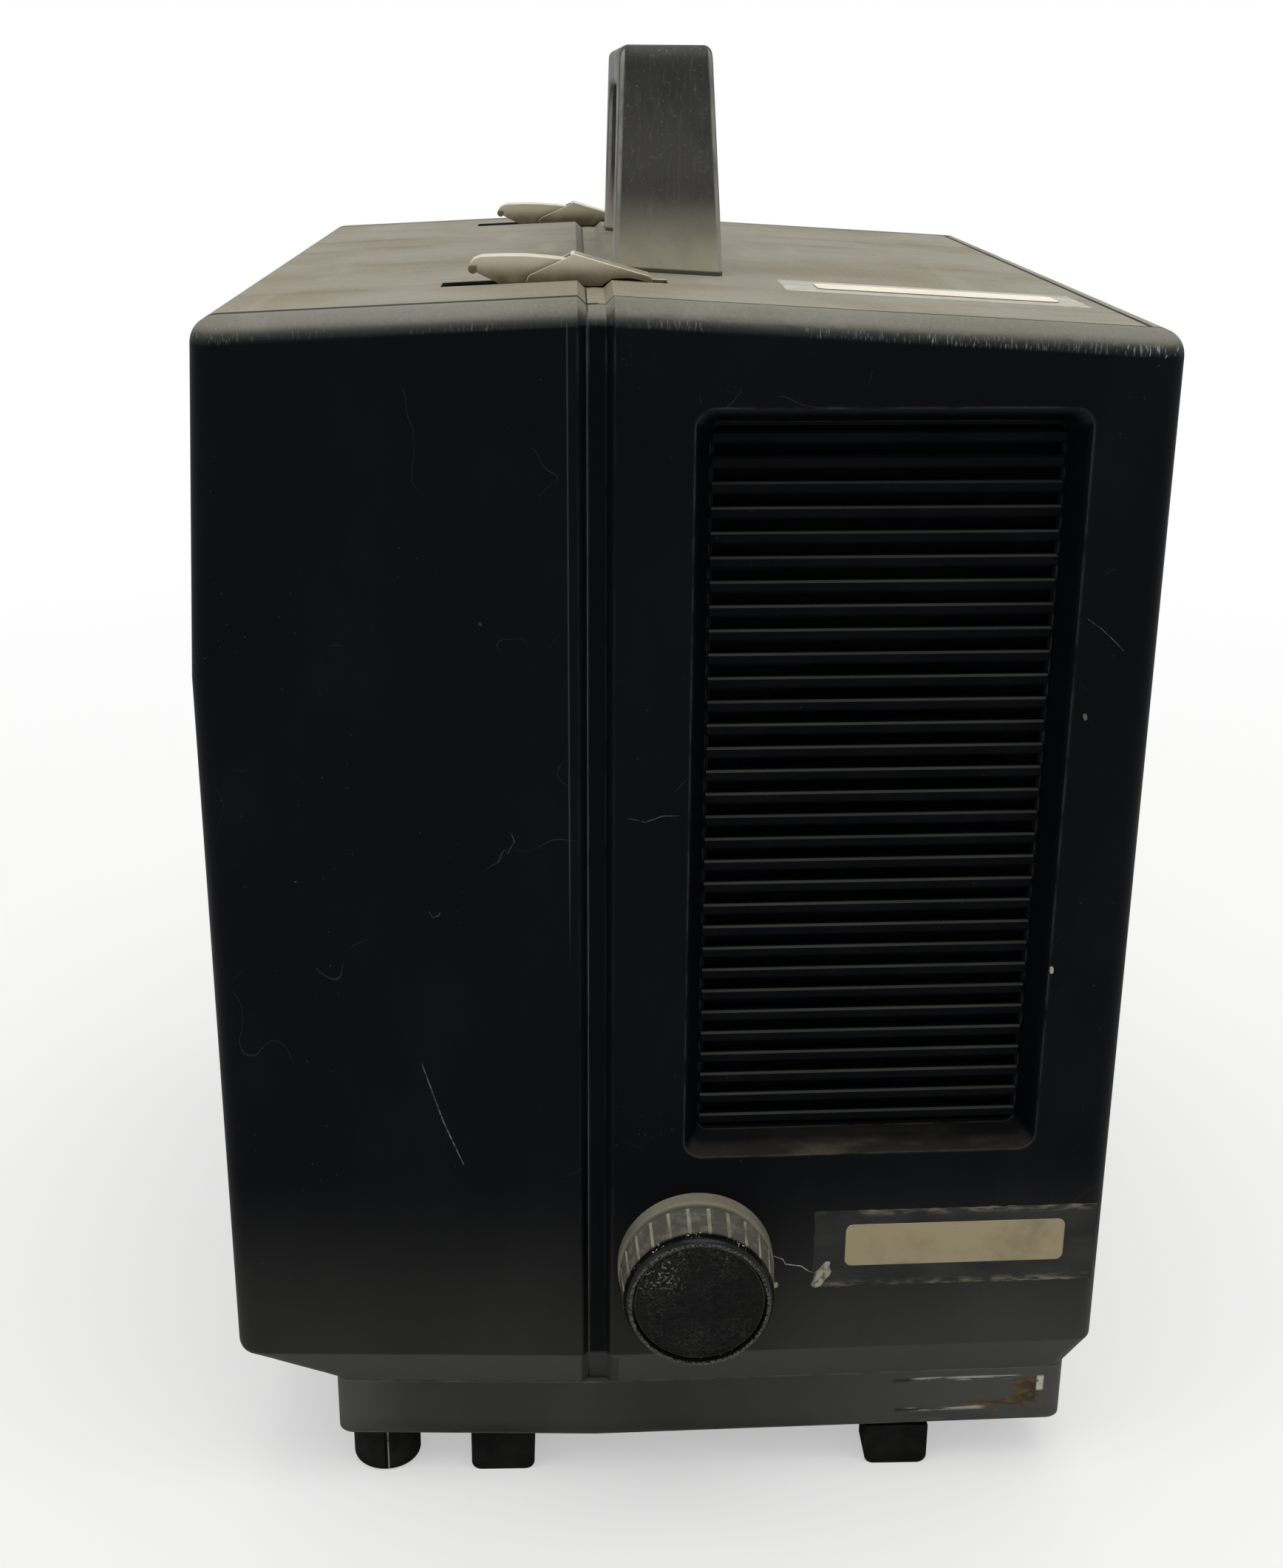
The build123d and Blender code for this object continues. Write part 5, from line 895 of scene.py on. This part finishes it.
def paint_all():
    """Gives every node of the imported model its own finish."""
    finishes = {
        "case_black": case_plastic(),
        "panel_grey": sheet_paint(),
        "plinth_grey": plinth_paint(),
        "grille_black": grille_plastic(),
        "handle_grey": handle_plastic(),
        "latch_nickel": nickel(),
        "knob_black": knob_plastic(),
        "cap_black": cap_hide(),
        "foot_rubber": foot_rubber(),
        "zinc_steel": steel("zinc_steel", srgb(170, 170, 172), 0.3),
        "bearing_bronze": steel("bearing_bronze", srgb(176, 132, 78), 0.4),
        "lamp_glass": bulb_glass(),
        "label_paper": label_paper(),
    }
    for slot, (dark, light, rough, rest) in PLAIN.items():
        finishes[slot] = plain_worn(slot, srgb(*dark), srgb(*light), rough, **rest)
    for row in frame["record"]["subparts"]:
        for place in frame["nodes"][row["node"]].material_slots:
            place.material = finishes[row["material_slot"]]
    return finishes


SHARP_ANGLE = math.radians(38)


def add_piece(name, shape, materials, body):
    """Makes an object from mesh data that is in the row frame and lets it ride on a body."""
    mesh = bpy.data.meshes.new(name)
    bmesh.ops.recalc_face_normals(shape, faces=shape.faces)
    shape.to_mesh(mesh)
    shape.free()
    for material in materials:
        mesh.materials.append(material)
    mesh.polygons.foreach_set("use_smooth", [True] * len(mesh.polygons))
    mesh.set_sharp_from_angle(angle=SHARP_ANGLE)
    piece = link_object(name, mesh)
    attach(piece, body)
    return piece


# Knob and cap: turned shapes with flutes and a wrinkled face. The profile's rows give the
# radius and the depth behind the front, in mm, and the share of the flutes' depth.
KNOB_RADIUS = 26 * MM
FLUTES = 24
FLUTE_HALF = 0.65 * MM
FLUTE_DEPTH = 0.6 * MM
FLUTE_STEPS = (-1, -0.86, -0.5, 0, 0.5, 0.86, 1)
LAND_STEPS = (0.25, 0.5, 0.75)
KNOB_PROFILE = (
    (0, 5.5, 0),
    (5.05, 5.5, 0),
    (5.05, 19.3, 0),
    (25.3, 19.3, 0),
    (25.8, 19.1, 0),
    (26.0, 18.6, 0),
    (25.97, 17.7, 0),
    (25.95, 17.4, 0.9),
    (25.9, 16.6, 1),
    (25.3, 6.0, 1),
    (25.2, 4.8, 0.8),
    (25.1, 4.1, 0.35),
    (25.0, 3.6, 0),
    (24.8, 2.9, 0),
    (24.4, 1.8, 0),
    (23.8, 0.8, 0),
    (23.2, 0.2, 0),
    (22.8, 0.0, 0),
    (22.4, 0.15, 0),
    (22.2, 0.6, 0),
    (22.2, 3.5, 0),
    (0, 3.5, 0),
)
CAP_SIDES = 120
CAP_STEPS = 26
CAP_RIM_RINGS = ((0, 0.95 * MM), (0.15 * MM, 0.6 * MM))
CAP_RIM_WIDTH = 0.5 * MM
CAP_FACE = 0.12 * MM
CAP_DOME = 0.4 * MM
WRINKLE_SIZE = 2.2 * MM
WRINKLE_DEPTH = 0.1 * MM
WRINKLE_NOISE = (0.8, 2.1, 3)


def turn_about_knob(shape, radius, depth, angle):
    """Vertex at a radius, an angle and a depth behind the knob's front."""
    place = (KNOB_X + radius * math.cos(angle), KNOB_FRONT + depth, KNOB_Z + radius * math.sin(angle))
    return shape.verts.new(place)


def lathe(shape, angles, rings):
    """Closes rings of vertices, or single vertices on the axis, into a turned skin."""
    faces = []
    for back, front in zip(rings, rings[1:]):
        for index in range(len(angles)):
            after = (index + 1) % len(angles)
            corners = [back[index], back[after], front[after], front[index]]
            faces.append(shape.faces.new(list(dict.fromkeys(corners))))
    return faces


def make_knob(finishes):
    """Fluted knob with a rounded rim and a recess for its cap."""
    pitch = 2 * math.pi / FLUTES
    half = FLUTE_HALF / KNOB_RADIUS
    land = pitch - 2 * half
    angles = []
    cuts = []
    for flute in range(FLUTES):
        middle = pitch * flute + pitch / 2
        angles += [middle + half * step for step in FLUTE_STEPS]
        cuts += [1 - step**2 for step in FLUTE_STEPS]
        angles += [middle + half + land * step for step in LAND_STEPS]
        cuts += [0] * len(LAND_STEPS)
    count = len(angles)
    shape = bmesh.new()
    rings = []
    for radius, depth, cut in KNOB_PROFILE:
        if radius == 0:
            rings.append([turn_about_knob(shape, 0, depth * MM, 0)] * count)
            continue
        ring = []
        for angle, share in zip(angles, cuts):
            reach = radius * MM - FLUTE_DEPTH * cut * share
            ring.append(turn_about_knob(shape, reach, depth * MM, angle))
        rings.append(ring)
    faces = lathe(shape, angles, rings)
    for row, (near, far) in enumerate(zip(KNOB_PROFILE, KNOB_PROFILE[1:])):
        if near[2] or far[2]:
            for index in range(count):
                if cuts[index] or cuts[(index + 1) % count]:
                    faces[row * count + index].material_index = 1
    materials = [finishes["knob_black"], flute_dust()]
    knob = add_piece("fluted_knob", shape, materials, "tilt_control")
    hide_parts("tilt_knob")


def make_cap(finishes):
    """Wrinkled cap, pressed into the knob's recess."""
    low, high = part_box("knob_cap")
    reach = (high[0] - low[0]) / 2
    back = high[1] - KNOB_FRONT
    front = low[1] - KNOB_FRONT
    angles = [2 * math.pi * step / CAP_SIDES for step in range(CAP_SIDES)]
    shape = bmesh.new()
    rings = [[turn_about_knob(shape, 0, back, 0)] * CAP_SIDES]
    rings.append([turn_about_knob(shape, reach, back, angle) for angle in angles])
    for inset, depth in CAP_RIM_RINGS:
        rings.append([turn_about_knob(shape, reach - inset, front + depth, angle) for angle in angles])
    for step in range(CAP_STEPS):
        share = 1 - step / CAP_STEPS
        radius = (reach - CAP_RIM_WIDTH) * share
        dome = CAP_DOME * share**2
        ring = []
        for angle in angles:
            place = Vector((math.cos(angle), math.sin(angle), 0)) * radius
            wrinkle = noise.fractal(place / WRINKLE_SIZE, *WRINKLE_NOISE) * WRINKLE_DEPTH
            wrinkle *= min(1, share * 4)
            behind = front + CAP_FACE + dome + wrinkle * (1 - share**8)
            ring.append(turn_about_knob(shape, radius, behind, angle))
        rings.append(ring)
    rings.append([turn_about_knob(shape, 0, front + CAP_FACE, 0)] * CAP_SIDES)
    lathe(shape, angles, rings)
    cap = add_piece("wrinkled_cap", shape, [finishes["cap_black"]], "tilt_control")
    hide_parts("knob_cap")


# Sticky film, chips, cracks and scratches. A negative lift sinks an edge into the surface.
# A flake's rings give shares of its reach and lift.
FILM_COLUMNS = 48
FILM_ROWS = 14
FILM_LIFT = 0.14 * MM
FILM_CRINKLE = 0.07 * MM
FILM_EDGE_LIFT = 0.02 * MM
FILM_UNDERSIDE = -0.05 * MM
FILM_RAGGED = 0.5 * MM
STREAK_STEPS = 6
STREAK_FOOT = -0.03 * MM
FLAKE_SIDES = 28
FLAKE_RINGS = ((1.0, -0.04), (0.97, 0.25), (0.78, 1), (0.45, 0.6))


def film_point(place, across, along, column, row, layer):
    """Point of the film's underside, layer 0, or of its crinkled face, layer 1."""
    u = across[0] + (across[1] - across[0]) * column / FILM_COLUMNS
    v = along[0] + (along[1] - along[0]) * row / FILM_ROWS
    seed = Vector((u, v, 0)) / (3 * MM)
    ragged = FILM_RAGGED * noise.noise(seed * 1.7 + Vector((5, 2, 1)))
    at_end = column in (0, FILM_COLUMNS)
    at_side = row in (0, FILM_ROWS)
    lift = FILM_LIFT + FILM_CRINKLE * noise.noise(seed)
    if at_end or at_side:
        lift = FILM_EDGE_LIFT
    if layer == 0:
        lift = FILM_UNDERSIDE
    return place(u + (ragged if at_end else 0), v + (ragged if at_side else 0), lift)


def make_film(name, place, across, along, material):
    """Thin crinkled sheet on a face: place gives a point from two coordinates and a lift."""
    shape = bmesh.new()
    skins = []
    for layer in (0, 1):
        skin = []
        for row in range(FILM_ROWS + 1):
            line = []
            for column in range(FILM_COLUMNS + 1):
                line.append(shape.verts.new(film_point(place, across, along, column, row, layer)))
            skin.append(line)
        skins.append(skin)
    for skin in skins:
        for near, far in zip(skin, skin[1:]):
            for column in range(FILM_COLUMNS):
                shape.faces.new((near[column], near[column + 1], far[column + 1], far[column]))
    border = [(0, column) for column in range(FILM_COLUMNS)]
    border += [(row, FILM_COLUMNS) for row in range(FILM_ROWS)]
    border += [(FILM_ROWS, column) for column in range(FILM_COLUMNS, 0, -1)]
    border += [(row, 0) for row in range(FILM_ROWS, 0, -1)]
    for first, second in zip(border, border[1:] + border[:1]):
        lower = [skins[0][row][column] for row, column in (first, second)]
        upper = [skins[1][row][column] for row, column in (first, second)]
        shape.faces.new((lower[0], lower[1], upper[1], upper[0]))
    add_piece(name, shape, [material], "root")


def make_streak(name, path, width, lift, material, body):
    """Thin tapered ridge along a path of points on the front face."""
    fine = []
    for first, second in zip(path, path[1:]):
        for step in range(STREAK_STEPS):
            fine.append(first.lerp(second, step / STREAK_STEPS))
    fine.append(path[-1])
    shape = bmesh.new()
    sections = []
    for index, point in enumerate(fine):
        before = fine[max(index - 1, 0)]
        after = fine[min(index + 1, len(fine) - 1)]
        run = (after - before).normalized()
        side = Vector((-run.y, run.x))
        share = index / (len(fine) - 1)
        taper = 0.25 + 0.75 * math.sin(math.pi * min(max(share, 0.02), 0.98)) ** 0.5
        ragged = 1 + 0.5 * noise.noise(Vector((index * 0.9, width * 1e4, 3)))
        half = width / 2 * taper * ragged
        section = []
        for offset, height in ((half, STREAK_FOOT), (0, lift), (-half, STREAK_FOOT)):
            place = point + side * offset
            section.append(shape.verts.new(front_point(place.x, place.y, height)))
        sections.append(section)
    for near, far in zip(sections, sections[1:]):
        for index in range(3):
            after = (index + 1) % 3
            shape.faces.new((near[index], near[after], far[after], far[index]))
    shape.faces.new(sections[0])
    shape.faces.new(list(reversed(sections[-1])))
    add_piece(name, shape, [material], body)


def make_flake(name, middle, reach, turn, lift, material):
    """Ragged raised flake on the front face, hollow at its middle."""
    shape = bmesh.new()
    rings = []
    for share, height in FLAKE_RINGS:
        ring = []
        for index in range(FLAKE_SIDES):
            angle = 2 * math.pi * index / FLAKE_SIDES
            seed = Vector((math.cos(angle) * 1.6, math.sin(angle) * 1.6, reach[0] * 900))
            ragged = 1 + 0.35 * noise.noise(seed)
            u = reach[0] * math.cos(angle) * share * ragged
            v = reach[1] * math.sin(angle) * share * ragged
            x = middle[0] + u * math.cos(turn) - v * math.sin(turn)
            z = middle[1] + u * math.sin(turn) + v * math.cos(turn)
            rise = lift * height * (1 + 0.4 * noise.noise(Vector((x, z, 0)) / (1.5 * MM)))
            ring.append(shape.verts.new(front_point(x, z, rise)))
        rings.append(ring)
    for outer, inner in zip(rings, rings[1:]):
        for index in range(FLAKE_SIDES):
            after = (index + 1) % FLAKE_SIDES
            shape.faces.new((outer[index], outer[after], inner[after], inner[index]))
    shape.faces.new(rings[-1])
    shape.faces.new(list(reversed(rings[0])))
    add_piece(name, shape, [material], "root")


# Marks on the front, in mm from the middle and above the floor. A streak has its look, width,
# lift, body, slot and path, a hair its body and path, and a flake its look, middle, reach,
# turn in radians and lift.
STREAKS = {
    "crack": (
        ("bare_chip", 0.5, 0.1, "root", "label_paper"),
        ((35, 94.5), (38.5, 93), (39.5, 91), (45, 90), (47.5, 88), (51, 86.5)),
    ),
    "scratch": (
        ("pale_line", 0.7, 0.06, "cover", "case_black"),
        ((-82.5, 169.5), (-79.5, 159.5), (-76, 148), (-72.5, 139), (-69.5, 131.5)),
    ),
}
HAIRS = {
    "hair_1": ("cover", ((-78.5, 223.5), (-77.5, 221.5), (-75.5, 222), (-75, 223.5))),
    "hair_2": ("cover", ((-52, 250.5), (-51, 247.5), (-52.5, 245), (-53.5, 243))),
    "hair_3": ("root", ((125.5, 318.5), (130, 315.5), (134.5, 311.5), (138, 308))),
    "hair_4": ("root", ((-15.5, 255.5), (-10, 254), (-4.5, 256), (1, 256))),
    "hair_5": ("root", ((56, 80.5), (66.5, 84), (78, 85))),
}
HAIR = ("pale_line", 0.28, 0.08)
FLAKES = {
    "flake": ("bare_chip", (52.2, 86.2), (2.3, 5.4), -0.45, 0.9),
    "flake_small": ("bare_chip", (36.4, 82.8), (0.9, 1.1), 0.3, 0.5),
    "flake_edge": ("bare_chip", (123.8, 199.8), (0.7, 1.3), 0.2, 0.35),
    "flake_side": ("pale_line", (127.7, 286.7), (0.7, 1.1), 0.4, 0.3),
}
FRONT_FILM = ((49 * MM, 146.6 * MM), (81.5 * MM, 111.4 * MM))
TOP_FILM = ((36 * MM, 134 * MM), (FRONT + 62 * MM, FRONT + 97 * MM))


def in_metres(numbers):
    """Numbers in mm, as metres."""
    return tuple(number * MM for number in numbers)


def make_marks():
    """Chips, crack, scratch and hairs that the years have left on the front, and the film."""
    looks = {
        "pale_line": raised_mark("pale_line", LINE, 0.0015, (0.35, 0.6), 0.0001, 0.6, 0.2),
        "bare_chip": raised_mark("bare_chip", CHIP, 0.0018, (0.45, 0.65), 0.0003, 0.8, 0.3),
    }
    streaks = dict(STREAKS)
    for name, (body, path) in HAIRS.items():
        streaks[name] = ((*HAIR, body, "case_black"), path)
    for name, ((look, width, lift, body, slot), path) in streaks.items():
        points = [Vector(in_metres(point)) for point in path]
        make_streak(name, points, width * MM, lift * MM, looks[look], body)
    for name, (look, middle, reach, turn, lift) in FLAKES.items():
        make_flake(name, in_metres(middle), in_metres(reach), turn, lift * MM, looks[look])
    film = tape_film()
    make_film("front_film", front_point, *FRONT_FILM, film)
    make_film("top_film", top_point, *TOP_FILM, film)


FLOOR_RADIUS = 12
FLOOR_FADE = (0.25, 1.4)


def floor_surface():
    """Pale floor that keeps a soft shadow near the object and fades to white."""
    look = Look("floor")
    reach = look.add("VectorMath")
    reach.operation = "LENGTH"
    look.join(look.place, reach.inputs[0])
    seen = look.add("LightPath").outputs["Is Camera Ray"]
    fade = look.all_of(look.ramp(reach.outputs["Value"], *FLOOR_FADE, 0.45, 1), seen)
    dull = look.add("BsdfDiffuse")
    look.join(look.mix(*FLOOR, look.noise(0.2, 3)), dull.inputs["Color"])
    white = look.add("Emission")
    both = look.add("MixShader")
    for index, source in enumerate((fade, dull.outputs[0], white.outputs[0])):
        look.join(source, both.inputs[index])
    look.join(both.outputs[0], look.out.inputs["Surface"])
    return look.material


def make_floor():
    """Round floor under the object."""
    mesh = bpy.data.meshes.new("floor")
    shape = bmesh.new()
    bmesh.ops.create_circle(shape, cap_ends=True, segments=96, radius=FLOOR_RADIUS)
    shape.to_mesh(mesh)
    shape.free()
    floor = link_object("floor", mesh)
    mesh.materials.append(floor_surface())


bpy.context.scene.view_settings.view_transform = "Standard"
make_camera()
make_world()
make_lamps()
make_floor()
finishes = paint_all()
make_knob(finishes)
make_cap(finishes)
make_marks()
